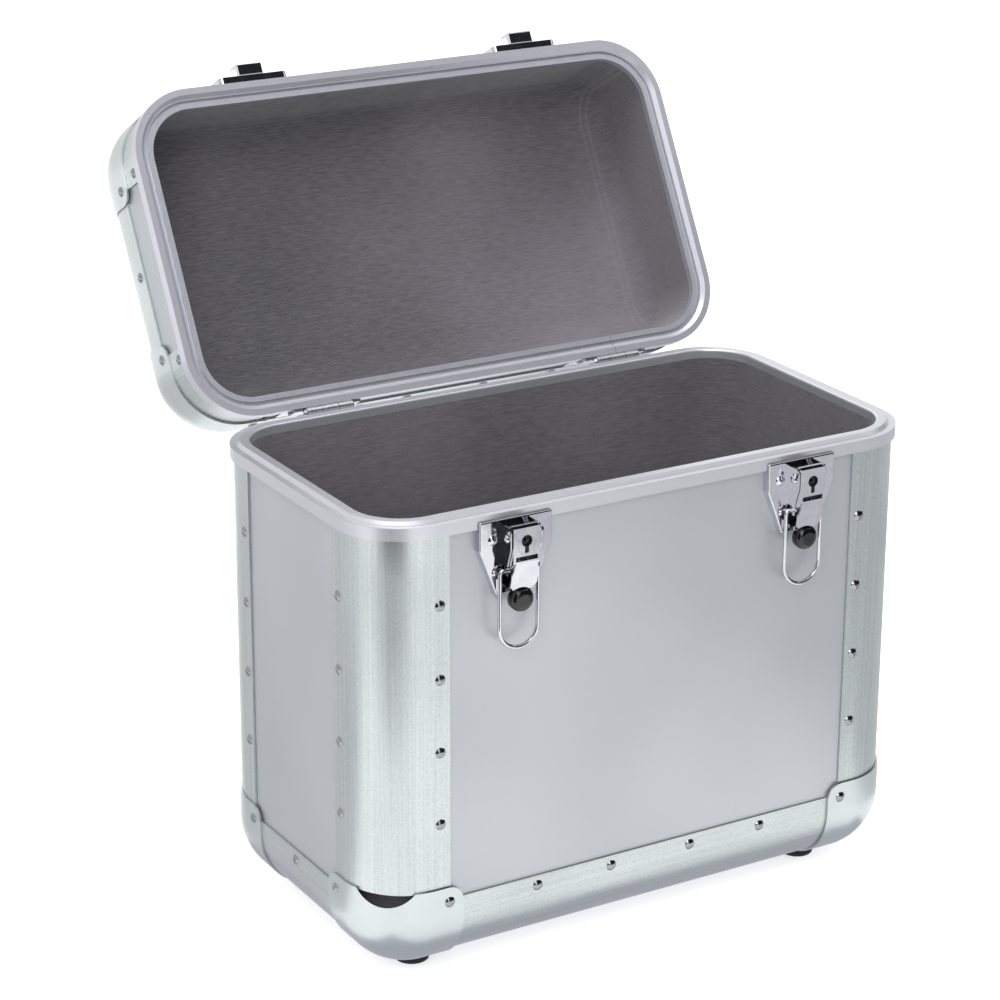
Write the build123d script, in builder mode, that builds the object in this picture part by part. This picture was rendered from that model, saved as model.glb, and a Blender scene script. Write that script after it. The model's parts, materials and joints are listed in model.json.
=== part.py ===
from build123d import *
import math
import os

os.makedirs("parts", exist_ok=True)

# Record carrying case with a hinged lid, in millimetres, Z up.
# X runs across the front, the front faces -Y and the feet stand on Z = 0.
# The lid, handle and catches are drawn shut and then swung open about the hinge pins.

# driving sizes of the shell
case_width = 380.0
case_depth = 206.0
body_height = 286.0
lid_height = 86.5
foot_height = 8.5
open_angle = 119.0

# corner extrusion, the same section on every long edge
corner_radius = 40.0
flange_width = 49.5
bead_line = 33.6
bead_width = 0.8
bead_depth = 0.5
rivet_line = 43.0
skin_thickness = 1.2
inner_skin_thickness = 0.9
panel_thickness = 7.0
lining_thickness = 0.7
web_thickness = 1.8

# pressed ball corners
ball_reach = 57.7
ball_thickness = 1.3
ball_lobe_radius = 10.0
ball_rivet_line = 48.3
extrusion_setback = 50.6
mouth_setback = 56.5
mouth_depth = 9.0
mouth_width = 36.0

# rims round both openings
rim_proud = 2.2
rim_width = 12.4
rim_band = 7.8
rim_web = 3.0
rim_leg = 0.7
rim_leg_depth = 4.0
tongue_inset = 4.2
tongue_height = 2.0
lid_rim_web = 5.5
groove_inset = 7.2
groove_width = 1.8
seam_width = 0.4

# clearances
slip = 0.1
panel_slip = 0.15
edge_slip = 0.2
running_gap = 0.3
pin_slip = 0.05

# dome rivets
rivet_head_radius = 3.4
rivet_head_height = 1.6
rivet_shank_radius = 1.6
rivet_shank_length = 8.9
rivet_hole_slip = 0.1
post_rivet_top = 50.0
post_rivet_pitch = 45.6
post_rivet_count = 4
edge_rivet_inner_share = 0.075
edge_rivet_outer_share = 0.212
lid_post_rivet_height = 15.6
rivet_cut_depth = 24.0
plate_rivet_head_radius = 3.2
plate_rivet_head_height = 1.5
plate_rivet_shank_radius = 1.5
small_rivet_head_radius = 1.9
small_rivet_head_height = 1.0
small_rivet_shank_radius = 1.2

# rubber feet
foot_radius = 10.5
foot_top_radius = 11.5
foot_inset_x = 47.5
foot_inset_y = 44.0
foot_screw_radius = 2.0
foot_edge_radius = 1.2
foot_recess_radius = 4.2
foot_recess_depth = 3.5
screw_head_radius = 3.8
screw_head_height = 2.0
screw_slot_length = 5.0
screw_slot_width = 0.9

# hinges
hinge_end_inset = 84.0
hinge_leaf_width = 46.0
hinge_leaf_thickness = 1.6
hinge_leaf_reach = 33.0
hinge_jog = 9.4
knuckle_radius = 3.0
knuckle_half = 16.0
knuckle_split = 6.0
hinge_pin_radius = 1.25
pin_head_room = 2.0
pin_head_radius = 2.1
pin_head_length = 1.2
hinge_leaf_corner = 4.0
hinge_rivet_height = 24.0
hinge_rivet_pitch = 15.0
hinge_rivet_head_radius = 2.6
hinge_rivet_head_height = 1.2
hinge_rivet_shank_radius = 1.4
hinge_rivet_shank_length = 7.4

# latches
latch_end_inset = 90.5
plate_thickness = 1.2
plate_front = 4.2
plate_half_width = 24.0
plate_tip_half = 13.0
plate_top_drop = 3.5
plate_shoulder_drop = 21.0
plate_tip_drop = 49.0
plate_edge_radius = 1.0
plate_rivet_x = 15.5
plate_rivet_drop = 15.0
small_rivet_x = 14.2
small_rivet_drop = 35.4
ear_gap = 0.3
ear_thickness = 1.1
lever_half_width = 8.8
lever_front = 16.0
lever_top_drop = 6.2
top_strip_height = 1.4
top_strip_out = 13.8
lock_plate_height = 17.2
slot_height = 2.8
slot_half_width = 7.2
pivot_out = 11.0
pivot_drop = 13.0
pivot_radius = 1.5
bail_out = 7.5
bail_drop = 33.5
bail_half_width = 12.7
bail_wire_radius = 1.3
bail_length = 48.6
bail_bend_radius = 2.4
keyhole_radius = 3.5
keyhole_slot = 2.6
keyhole_reach = 7.2
keyhole_drop = 14.3
knob_radius = 7.7
knob_drop = 51.5
knob_front = 14.2
knob_edge_radius = 4.4
tongue_back = 7.4
tongue_end_out = 11.6
tongue_end_drop = 45.2
tongue_tail_drop = 53.0
tongue_tail_half = 6.0
spring_coil_radius = 1.6
spring_wire_radius = 0.35
spring_out = 12.4
spring_turns = 12
lock_case_depth = 1.9
latch_pin_head_radius = 2.3
latch_pin_head_length = 0.8

# catches on the lid
catch_half_width = 23.6
catch_low = 3.5
catch_high = 24.0
catch_front = 7.2
hook_half_width = 8.2
hook_root = 5.4
hook_front = 15.9
hook_shelf = 10.0
hook_lip_top = 17.4
hook_thickness = 1.4
catch_rivet_height = 14.5
catch_corner = 3.0

# carrying handle
handle_pivot_half = 62.0
handle_pivot_height = 8.0
handle_reach = 38.0
handle_grip_half = 42.0
handle_grip_depth = 20.0
handle_grip_thickness = 12.0
handle_wire_radius = 3.0
handle_plate_length = 40.0
handle_plate_width = 24.0
handle_plate_thickness = 1.6
handle_lug_half = 3.0
handle_lug_radius = 5.6
handle_rivet_step = 14.0
handle_rivet_head_radius = 3.0
handle_rivet_head_height = 1.4
handle_rivet_shank_radius = 1.5
handle_rivet_shank_length = 6.0
handle_bend_radius = 6.0
grip_corner = 5.5
grip_end_radius = 3.0

# planes worked out from the sizes above
half_width = case_width / 2
half_depth = case_depth / 2
base_z = foot_height
parting_z = base_z + body_height
lid_top_z = parting_z + lid_height
panel_out = skin_thickness + panel_slip
panel_in = panel_out + panel_thickness
inner_skin_out = panel_in + panel_slip
inner_skin_in = inner_skin_out + inner_skin_thickness
lining_out = inner_skin_in + slip
lining_in = lining_out + lining_thickness
panel_edge = corner_radius + edge_slip
tall_span = 10 * corner_radius
edge_rivet_inner = case_width * edge_rivet_inner_share
edge_rivet_outer = case_width * edge_rivet_outer_share
hinge_x = half_width - hinge_end_inset
latch_x = half_width - latch_end_inset
hinge_leaf_inner = half_depth + rim_proud + running_gap
hinge_y = hinge_leaf_inner + knuckle_radius
body_wall_top = parting_z - rim_web - panel_slip
lid_wall_bottom = parting_z + lid_rim_web + slip

to_axis = Location((0, hinge_y, parting_z))
from_axis = Location((0, -hinge_y, -parting_z))
lid_swing = to_axis * Location((0, 0, 0), (-open_angle, 0, 0)) * from_axis


def facing(side, first, second):
    """Place a point on an outer face with +Z pointing out of that face."""
    if side == "front":
        return Location((first, -half_depth, second), (90, 0, 0))
    if side == "back":
        return Location((first, half_depth, second), (-90, 0, 0))
    if side == "left":
        return Location((-half_width, first, second), (0, -90, 0))
    if side == "right":
        return Location((half_width, first, second), (0, 90, 0))
    if side == "top":
        return Location((first, second, lid_top_z), (0, 0, 0))
    return Location((first, second, base_z), (180, 0, 0))


# rivet positions on the base
post_rivet_heights = []
for index in range(post_rivet_count):
    post_rivet_heights.append(parting_z - post_rivet_top - index * post_rivet_pitch)

post_rivets_at = {}
for side_x in (-1, 1):
    for side_y in (-1, 1):
        face_y = "front" if side_y < 0 else "back"
        face_x = "left" if side_x < 0 else "right"
        places = []
        for height in post_rivet_heights:
            places.append(facing(face_y, side_x * (half_width - rivet_line), height))
            places.append(facing(face_x, side_y * (half_depth - rivet_line), height))
        post_rivets_at[(side_x, side_y)] = places

edge_steps = (-edge_rivet_outer, -edge_rivet_inner, edge_rivet_inner, edge_rivet_outer)


def long_edge_rivets(face_y, side_y, flat_face, flat_z):
    """Rivets of a long edge extrusion, on its upright flange and on its flat flange."""
    places = []
    for step in edge_steps:
        places.append(facing(face_y, step, flat_z))
        places.append(facing(flat_face, step, side_y * (half_depth - rivet_line)))
    return places


def short_edge_rivets(face_x, side_x, flat_face, flat_z):
    """Rivets of a short edge extrusion, one on each flange."""
    return [
        facing(face_x, 0, flat_z),
        facing(flat_face, side_x * (half_width - rivet_line), 0),
    ]


base_edge_z = base_z + rivet_line
lid_edge_z = lid_top_z - rivet_line
base_edge_rivets = {
    "front": long_edge_rivets("front", -1, "bottom", base_edge_z),
    "back": long_edge_rivets("back", 1, "bottom", base_edge_z),
    "left": short_edge_rivets("left", -1, "bottom", base_edge_z),
    "right": short_edge_rivets("right", 1, "bottom", base_edge_z),
}
lid_edge_rivets = {
    "front": long_edge_rivets("front", -1, "top", lid_edge_z),
    "back": long_edge_rivets("back", 1, "top", lid_edge_z),
    "left": short_edge_rivets("left", -1, "top", lid_edge_z),
    "right": short_edge_rivets("right", 1, "top", lid_edge_z),
}


def ball_rivets(side_x, side_y, level):
    """Rivets through the two upright lobes of one ball corner."""
    face_y = "front" if side_y < 0 else "back"
    face_x = "left" if side_x < 0 else "right"
    return [
        facing(face_y, side_x * (half_width - ball_rivet_line), level),
        facing(face_x, side_y * (half_depth - ball_rivet_line), level),
    ]


base_ball_level = base_z + ball_rivet_line
lid_ball_level = lid_top_z - ball_rivet_line
foot_places = []
base_ball_rivets = []
lid_ball_rivets = []
lid_ball_top_rivets = []
lid_post_rivets = {}
for side_x in (-1, 1):
    for side_y in (-1, 1):
        ball_x = side_x * (half_width - ball_rivet_line)
        ball_y = side_y * (half_depth - ball_rivet_line)
        foot_x = side_x * (half_width - foot_inset_x)
        foot_y = side_y * (half_depth - foot_inset_y)
        foot_places.append(facing("bottom", foot_x, foot_y))
        base_ball_rivets.extend(ball_rivets(side_x, side_y, base_ball_level))
        lid_ball_rivets.extend(ball_rivets(side_x, side_y, lid_ball_level))
        lid_ball_top_rivets.append(facing("top", ball_x, ball_y))
        face_y = "front" if side_y < 0 else "back"
        face_x = "left" if side_x < 0 else "right"
        height = parting_z + lid_post_rivet_height
        lid_post_rivets[(side_x, side_y)] = [
            facing(face_y, side_x * (half_width - rivet_line), height),
            facing(face_x, side_y * (half_depth - rivet_line), height),
        ]

hinge_rivet_steps = (-hinge_rivet_pitch, 0.0, hinge_rivet_pitch)
hinge_body_rivet_places = []
hinge_lid_rivet_places = []
for side in (-1, 1):
    for step in hinge_rivet_steps:
        hinge_body_rivet_places.append((side * hinge_x + step, parting_z - hinge_rivet_height))
        hinge_lid_rivet_places.append((side * hinge_x + step, parting_z + hinge_rivet_height))

latch_rivet_places = []
latch_small_places = []
catch_rivet_places = []
for side in (-1, 1):
    for step in (-1, 1):
        rivet_x = side * latch_x + step * plate_rivet_x
        small_x = side * latch_x + step * small_rivet_x
        latch_rivet_places.append((rivet_x, parting_z - plate_rivet_drop))
        latch_small_places.append((small_x, parting_z - small_rivet_drop))
        catch_rivet_places.append((rivet_x, parting_z + catch_rivet_height))

handle_rivet_places = []
for side in (-1, 1):
    for step in (-handle_rivet_step, handle_rivet_step):
        handle_rivet_places.append((side * handle_pivot_half + step, 0.0))

rivet_hole_radius = rivet_shank_radius + rivet_hole_slip


def drill(places, radius=rivet_hole_radius):
    """Cut rivet holes in the part being built."""
    with Locations(*places):
        Cylinder(radius=radius, height=rivet_cut_depth, mode=Mode.SUBTRACT)


def at_y(points, y_value, turn):
    """Turn (x, z) pairs into places on an upright face."""
    return [Location((point[0], y_value, point[1]), (turn, 0, 0)) for point in points]


# panels

def upright_panel(half_span, low_z, high_z):
    """A flat wall panel lying in XZ, outer face towards -Y at the front of the case."""
    with BuildPart() as panel:
        with Locations((0, -half_depth + panel_out + panel_thickness / 2, (low_z + high_z) / 2)):
            Box(2 * half_span, panel_thickness, high_z - low_z)
    return panel.part


long_half = half_width - panel_edge
short_half = half_depth - panel_edge
body_panel_low = base_z + panel_edge
lid_panel_high = lid_top_z - panel_edge

with BuildPart() as front_panel:
    add(upright_panel(long_half, body_panel_low, body_wall_top))
    drill(post_rivets_at[(-1, -1)] + post_rivets_at[(1, -1)])
    drill(base_edge_rivets["front"])
    drill(base_ball_rivets)
    drill(at_y(latch_rivet_places, -half_depth, 90))
    drill(at_y(latch_small_places, -half_depth, 90))
front_panel.part.label = "front_panel"
export_step(front_panel.part, "parts/front_panel.step")

with BuildPart() as back_panel:
    add(upright_panel(long_half, body_panel_low, body_wall_top).mirror(Plane.XZ))
    drill(post_rivets_at[(-1, 1)] + post_rivets_at[(1, 1)])
    drill(base_edge_rivets["back"])
    drill(base_ball_rivets)
    drill(at_y(hinge_body_rivet_places, half_depth, 90))
back_panel.part.label = "back_panel"
export_step(back_panel.part, "parts/back_panel.step")


def end_panel(side_x, low_z, high_z, places):
    """A flat panel for the left or right end."""
    with BuildPart() as panel:
        centre_x = side_x * (half_width - panel_out - panel_thickness / 2)
        with Locations((centre_x, 0, (low_z + high_z) / 2)):
            Box(panel_thickness, 2 * short_half, high_z - low_z)
        drill(places)
    return panel


def flat_panel(centre_z, places):
    """The bottom panel or the top panel."""
    with BuildPart() as panel:
        with Locations((0, 0, centre_z)):
            Box(2 * long_half, 2 * short_half, panel_thickness)
        drill(places)
    return panel


for side_x, label in ((-1, "left_panel"), (1, "right_panel")):
    face = "left" if side_x < 0 else "right"
    holes = post_rivets_at[(side_x, -1)] + post_rivets_at[(side_x, 1)]
    holes = holes + base_edge_rivets[face] + base_ball_rivets
    panel = end_panel(side_x, body_panel_low, body_wall_top, holes)
    panel.part.label = label
    export_step(panel.part, "parts/" + label + ".step")

all_base_edges = []
for face in ("front", "back", "left", "right"):
    all_base_edges.extend(base_edge_rivets[face])
with BuildPart() as bottom_panel:
    add(flat_panel(base_z + panel_out + panel_thickness / 2, all_base_edges).part)
    drill(foot_places, foot_screw_radius + rivet_hole_slip)
bottom_panel.part.label = "bottom_panel"
export_step(bottom_panel.part, "parts/bottom_panel.step")


# corner extrusions

def corner_section(span_u, span_v, side_u, side_v):
    """Hollow corner section with two skins, drawn in the open sketch."""
    half_u = span_u / 2
    half_v = span_v / 2
    RectangleRounded(span_u, span_v, corner_radius)
    RectangleRounded(
        span_u - 2 * skin_thickness,
        span_v - 2 * skin_thickness,
        corner_radius - skin_thickness,
        mode=Mode.SUBTRACT,
    )
    RectangleRounded(
        span_u - 2 * inner_skin_out,
        span_v - 2 * inner_skin_out,
        corner_radius - inner_skin_out,
    )
    RectangleRounded(
        span_u - 2 * inner_skin_in,
        span_v - 2 * inner_skin_in,
        corner_radius - inner_skin_in,
        mode=Mode.SUBTRACT,
    )
    bead_middle = bead_depth / 2 - slip
    with Locations((side_u * (half_u - bead_line), side_v * (half_v - bead_middle))):
        Rectangle(bead_width, bead_depth + 2 * slip, mode=Mode.SUBTRACT)
    with Locations((side_u * (half_u - bead_middle), side_v * (half_v - bead_line))):
        Rectangle(bead_depth + 2 * slip, bead_width, mode=Mode.SUBTRACT)
    web_depth = inner_skin_in - skin_thickness / 2
    web_middle = skin_thickness / 2 + web_depth / 2 - inner_skin_thickness / 4
    web_place = corner_radius - web_thickness / 2
    with Locations((side_u * (half_u - web_place), side_v * (half_v - web_middle))):
        Rectangle(web_thickness, web_depth - inner_skin_thickness / 2)
    with Locations((side_u * (half_u - web_middle), side_v * (half_v - web_place))):
        Rectangle(web_depth - inner_skin_thickness / 2, web_thickness)
    with Locations((side_u * (half_u - flange_width / 2), side_v * (half_v - flange_width / 2))):
        Rectangle(flange_width, flange_width, mode=Mode.INTERSECT)


def corner_post(side_x, side_y, low_z, high_z, places):
    """An upright corner extrusion."""
    with BuildPart() as post:
        with BuildSketch(Plane.XY.offset(low_z)):
            corner_section(case_width, case_depth, side_x, side_y)
        extrude(amount=high_z - low_z)
        drill(places)
    return post


corner_names = {
    (-1, -1): "front_left",
    (1, -1): "front_right",
    (-1, 1): "back_left",
    (1, 1): "back_right",
}
for sides, corner in corner_names.items():
    setback = mouth_setback if corner == "front_left" else extrusion_setback
    post = corner_post(sides[0], sides[1], base_z + setback, body_wall_top, post_rivets_at[sides])
    label = corner + "_post"
    post.part.label = label
    export_step(post.part, "parts/" + label + ".step")

lid_posts = []
for sides in corner_names:
    low_z = lid_wall_bottom
    high_z = lid_top_z - extrusion_setback
    lid_posts.append(corner_post(sides[0], sides[1], low_z, high_z, lid_post_rivets[sides]).part)
with BuildPart() as lid_corner_posts:
    for piece in lid_posts:
        add(piece.moved(lid_swing))
lid_corner_posts.part.label = "lid_corner_posts"
export_step(lid_corner_posts.part, "parts/lid_corner_posts.step")


def edge_extrusion(face, side_v, edge_z, places):
    """A horizontal edge extrusion along the bottom or along the top of the lid."""
    middle_z = edge_z - side_v * tall_span / 2
    with BuildPart() as edge:
        if face in ("front", "back"):
            side_u = -1 if face == "front" else 1
            with BuildSketch(Plane.YZ):
                with Locations((0, middle_z)):
                    with BuildSketch(mode=Mode.PRIVATE) as section:
                        corner_section(case_depth, tall_span, side_u, side_v)
                    add(section.sketch)
            extrude(amount=half_width - extrusion_setback, both=True)
        else:
            side_u = -1 if face == "left" else 1
            with BuildSketch(Plane.XZ):
                with Locations((0, middle_z)):
                    with BuildSketch(mode=Mode.PRIVATE) as section:
                        corner_section(case_width, tall_span, side_u, side_v)
                    add(section.sketch)
            extrude(amount=half_depth - extrusion_setback, both=True)
        drill(places)
    return edge


for face in ("front", "back", "left", "right"):
    edge = edge_extrusion(face, -1, base_z, base_edge_rivets[face])
    label = face + "_bottom_edge"
    edge.part.label = label
    export_step(edge.part, "parts/" + label + ".step")

for face in ("front", "back", "left", "right"):
    closed_edge = edge_extrusion(face, 1, lid_top_z, lid_edge_rivets[face])
    with BuildPart() as edge:
        add(closed_edge.part.moved(lid_swing))
    label = "lid_" + face + "_edge"
    edge.part.label = label
    export_step(edge.part, "parts/" + label + ".step")


# ball corners

def corner_block(size, offset, radius):
    """A block whose three outer edges at the low corner are rounded, outer faces on the offset planes."""
    with BuildPart() as block:
        Box(size, size, size, align=(Align.MIN, Align.MIN, Align.MIN))
        near = block.edges().filter_by(lambda edge: edge.center().length < size * 0.6)
        fillet(near, radius)
    return block.part.moved(Location((offset, offset, offset)))


def ball_corner(with_mouth, foot_x_line, foot_y_line, bottom_hole):
    """Pressed shell over the corner at the origin planes, opening towards +X, +Y and +Z."""
    proud = slip + ball_thickness
    outer = corner_block(2 * ball_reach, -proud, corner_radius + proud)
    inner = corner_block(2.4 * ball_reach, -slip, corner_radius + slip)
    with BuildPart() as limit:
        with Locations((-10, -10, -10)):
            Box(ball_reach + 10, ball_reach + 10, ball_reach + 10, align=(Align.MIN, Align.MIN, Align.MIN))
        far = limit.edges().filter_by(lambda edge: edge.center().length > ball_reach * 1.25)
        fillet(far, ball_lobe_radius)
    with BuildPart() as shell:
        add(outer)
        add(inner, mode=Mode.SUBTRACT)
        add(limit.part, mode=Mode.INTERSECT)
        line = ball_rivet_line
        drill([Location((line, 0, line), (90, 0, 0)), Location((0, line, line), (0, 90, 0))])
        drill([Location((foot_x_line, foot_y_line, 0))], bottom_hole)
        if with_mouth:
            mouth_radius = (mouth_width * mouth_width / 4 + mouth_depth * mouth_depth) / (2 * mouth_depth)
            mouth_rise = ball_reach + mouth_radius - mouth_depth
            with Locations(Location((0, 0, mouth_rise), (0, 0, 45))):
                with Locations(Location((20.0, 0, 0), (0, 90, 0))):
                    Cylinder(radius=mouth_radius, height=60.0, mode=Mode.SUBTRACT)
    return shell.part


screw_hole = foot_screw_radius + rivet_hole_slip
plain_ball = ball_corner(False, foot_inset_x, foot_inset_y, screw_hole)
mouth_ball = ball_corner(True, foot_inset_x, foot_inset_y, screw_hole)
lid_ball = ball_corner(False, ball_rivet_line, ball_rivet_line, rivet_hole_radius)


def place_ball(shape, side_x, side_y):
    """Stand a ball corner at one of the four base corners."""
    placed = shape.moved(Location((-half_width, -half_depth, base_z)))
    if side_x > 0:
        placed = placed.mirror(Plane.YZ)
    if side_y > 0:
        placed = placed.mirror(Plane.XZ)
    return placed


for sides, corner in corner_names.items():
    shape = mouth_ball if corner == "front_left" else plain_ball
    with BuildPart() as ball:
        add(place_ball(shape, sides[0], sides[1]))
    label = "base_ball_" + corner
    ball.part.label = label
    export_step(ball.part, "parts/" + label + ".step")

lid_mirror = Plane.XY.offset((base_z + lid_top_z) / 2)
with BuildPart() as lid_ball_corners:
    for sides in corner_names:
        add(place_ball(lid_ball, sides[0], sides[1]).mirror(lid_mirror).moved(lid_swing))
lid_ball_corners.part.label = "lid_ball_corners"
export_step(lid_ball_corners.part, "parts/lid_ball_corners.step")


# lid panels

def lid_piece(closed_part):
    """Swing a closed piece open with the lid."""
    with BuildPart() as piece:
        add(closed_part.moved(lid_swing))
    return piece


catch_hole_places = at_y(catch_rivet_places, -half_depth, 90)
with BuildPart() as closed_front:
    add(upright_panel(long_half, lid_wall_bottom, lid_panel_high))
    drill(lid_post_rivets[(-1, -1)] + lid_post_rivets[(1, -1)])
    drill(lid_edge_rivets["front"])
    drill(lid_ball_rivets)
    drill(catch_hole_places)
lid_front_panel = lid_piece(closed_front.part)
lid_front_panel.part.label = "lid_front_panel"
export_step(lid_front_panel.part, "parts/lid_front_panel.step")

with BuildPart() as closed_back:
    add(upright_panel(long_half, lid_wall_bottom, lid_panel_high).mirror(Plane.XZ))
    drill(lid_post_rivets[(-1, 1)] + lid_post_rivets[(1, 1)])
    drill(lid_edge_rivets["back"])
    drill(lid_ball_rivets)
    drill(at_y(hinge_lid_rivet_places, half_depth, 90))
lid_back_panel = lid_piece(closed_back.part)
lid_back_panel.part.label = "lid_back_panel"
export_step(lid_back_panel.part, "parts/lid_back_panel.step")

for side_x, label in ((-1, "lid_left_panel"), (1, "lid_right_panel")):
    face = "left" if side_x < 0 else "right"
    holes = lid_post_rivets[(side_x, -1)] + lid_post_rivets[(side_x, 1)]
    holes = holes + lid_edge_rivets[face] + lid_ball_rivets
    panel = lid_piece(end_panel(side_x, lid_wall_bottom, lid_panel_high, holes).part)
    panel.part.label = label
    export_step(panel.part, "parts/" + label + ".step")

all_lid_edges = []
for face in ("front", "back", "left", "right"):
    all_lid_edges.extend(lid_edge_rivets[face])
handle_holes = [Location((spot[0], spot[1], lid_top_z)) for spot in handle_rivet_places]
top_holes = all_lid_edges + lid_ball_top_rivets + handle_holes
closed_top = flat_panel(lid_top_z - panel_out - panel_thickness / 2, top_holes)
lid_top_panel = lid_piece(closed_top.part)
lid_top_panel.part.label = "lid_top_panel"
export_step(lid_top_panel.part, "parts/lid_top_panel.step")


# rims

rim_half_width = half_width + rim_proud
rim_half_depth = half_depth + rim_proud
rim_radius = corner_radius + rim_proud


def ring(inset, depth, low_z, high_z):
    """A rounded frame running round the case between two insets from the rim's outer face."""
    with BuildPart(mode=Mode.PRIVATE) as frame_part:
        with BuildSketch(Plane.XY.offset(low_z)):
            RectangleRounded(
                2 * (rim_half_width - inset), 2 * (rim_half_depth - inset), rim_radius - inset
            )
            RectangleRounded(
                2 * (rim_half_width - depth),
                2 * (rim_half_depth - depth),
                rim_radius - depth,
                mode=Mode.SUBTRACT,
            )
        extrude(amount=high_z - low_z)
    return frame_part.part


rim_split = running_gap / 2
leg_start = rim_proud - slip
with BuildPart() as tongue_ring:
    add(ring(tongue_inset, rim_width, parting_z - rim_web, parting_z + tongue_height))
    crown = tongue_ring.faces().sort_by(Axis.Z)[-1]
    chamfer(crown.outer_wire().edges(), tongue_height)
    crown = tongue_ring.faces().sort_by(Axis.Z)[-1]
    fillet(crown.inner_wires()[0].edges(), tongue_height * 0.7)

with BuildPart() as body_rim:
    add(ring(0, rim_width, parting_z - rim_web, parting_z - rim_split))
    add(ring(0, leg_start, parting_z - rim_band, parting_z - rim_web))
    add(ring(rim_width - rim_leg, rim_width, parting_z - rim_leg_depth, parting_z - rim_web))
    add(tongue_ring.part)
body_rim.part.label = "body_rim"
export_step(body_rim.part, "parts/body_rim.step")

recess_height = tongue_height + running_gap + rim_split
with BuildPart() as recess_ring:
    add(ring(tongue_inset - slip, rim_width + 1, parting_z - 1, parting_z + recess_height))
    crown = recess_ring.faces().sort_by(Axis.Z)[-1]
    chamfer(crown.outer_wire().edges(), tongue_height + running_gap)

with BuildPart() as closed_rim:
    add(ring(0, rim_width, parting_z + rim_split, parting_z + lid_rim_web))
    add(ring(0, leg_start, parting_z + rim_split, parting_z + rim_band))
    add(
        ring(
            rim_width - rim_leg, rim_width, parting_z + lid_rim_web, parting_z + rim_leg_depth + rim_web
        )
    )
    add(recess_ring.part, mode=Mode.SUBTRACT)
    add(
        ring(groove_inset, groove_inset + groove_width, parting_z, parting_z + lid_rim_web - 1.0),
        mode=Mode.SUBTRACT,
    )
    with Locations((hinge_x + 1.0, half_depth, parting_z + 10)):
        Box(seam_width, 40, 40, mode=Mode.SUBTRACT)
lid_rim = lid_piece(closed_rim.part)
lid_rim.part.label = "lid_rim"
export_step(lid_rim.part, "parts/lid_rim.step")


# linings

def rounded_tub(inset, low_z, high_z):
    """A block with rounded upright and bottom edges, to be hollowed."""
    radius = corner_radius - inset
    with BuildPart() as tub:
        with Locations((0, 0, (low_z + high_z) / 2)):
            Box(case_width - 2 * inset, case_depth - 2 * inset, high_z - low_z)
        rounded = tub.edges().filter_by(Axis.Z) + tub.faces().sort_by(Axis.Z)[0].edges()
        fillet(rounded, radius)
    return tub.part


def lining_tub(floor_z, top_z):
    """A thin lining that follows the inside of the walls and the floor."""
    with BuildPart() as lining:
        add(rounded_tub(lining_out, floor_z + lining_out, top_z))
        add(rounded_tub(lining_in, floor_z + lining_in, top_z + 5), mode=Mode.SUBTRACT)
    return lining.part


base_lining_top = parting_z - rim_leg_depth - edge_slip
with BuildPart() as base_lining:
    add(lining_tub(base_z, base_lining_top))
base_lining.part.label = "base_lining"
export_step(base_lining.part, "parts/base_lining.step")

lid_lining_start = parting_z + rim_leg_depth + rim_web + edge_slip
closed_lining = lining_tub(0, lid_top_z - lid_lining_start).mirror(Plane.XY)
lid_lining = lid_piece(closed_lining.moved(Location((0, 0, lid_top_z))))
lid_lining.part.label = "lid_lining"
export_step(lid_lining.part, "parts/lid_lining.step")


# rivets

def dome_rivet(head_radius, head_height, shank_radius, shank_length):
    """A dome rivet standing on Z = 0 with its shank below."""
    dome_radius = (head_radius * head_radius + head_height * head_height) / (2 * head_height)
    low = (Align.CENTER, Align.CENTER, Align.MIN)
    with BuildPart() as rivet:
        with Locations((0, 0, head_height - dome_radius)):
            Sphere(radius=dome_radius)
        Box(3 * head_radius, 3 * head_radius, 2 * head_height, align=low, mode=Mode.INTERSECT)
        with Locations((0, 0, -shank_length)):
            Cylinder(radius=shank_radius, height=shank_length + head_height / 3, align=low)
    return rivet.part


body_rivet = dome_rivet(rivet_head_radius, rivet_head_height, rivet_shank_radius, rivet_shank_length)


def rivet_group(shape, places, swing=False):
    """Copies of one rivet, each a separate solid."""
    with BuildPart() as group:
        for place in places:
            placed = shape.moved(place)
            add(placed.moved(lid_swing) if swing else placed)
    return group


def raised(places, height):
    """Lift places along their own outward direction."""
    return [place * Location((0, 0, height)) for place in places]


ball_surface = slip + ball_thickness
base_rivet_places = []
for sides in corner_names:
    base_rivet_places.extend(post_rivets_at[sides])
base_rivet_places.extend(all_base_edges)
base_rivet_places.extend(raised(base_ball_rivets, ball_surface))
base_rivets = rivet_group(body_rivet, base_rivet_places)
base_rivets.part.label = "base_rivets"
export_step(base_rivets.part, "parts/base_rivets.step")

lid_rivet_places = []
for sides in corner_names:
    lid_rivet_places.extend(lid_post_rivets[sides])
lid_rivet_places.extend(all_lid_edges)
lid_rivet_places.extend(raised(lid_ball_rivets, ball_surface))
lid_rivet_places.extend(raised(lid_ball_top_rivets, ball_surface))
lid_rivets = rivet_group(body_rivet, lid_rivet_places, True)
lid_rivets.part.label = "lid_rivets"
export_step(lid_rivets.part, "parts/lid_rivets.step")


# feet

foot_drop = foot_height - ball_surface
with BuildPart() as foot_blank:
    Cone(
        bottom_radius=foot_radius,
        top_radius=foot_top_radius,
        height=foot_drop,
        align=(Align.CENTER, Align.CENTER, Align.MIN),
    )
    fillet(foot_blank.faces().sort_by(Axis.Z)[0].edges(), foot_edge_radius)
    Cylinder(
        radius=foot_recess_radius,
        height=foot_recess_depth,
        align=(Align.CENTER, Align.CENTER, Align.MIN),
        mode=Mode.SUBTRACT,
    )
    Cylinder(radius=foot_screw_radius + slip, height=foot_height * 2, mode=Mode.SUBTRACT)

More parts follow.
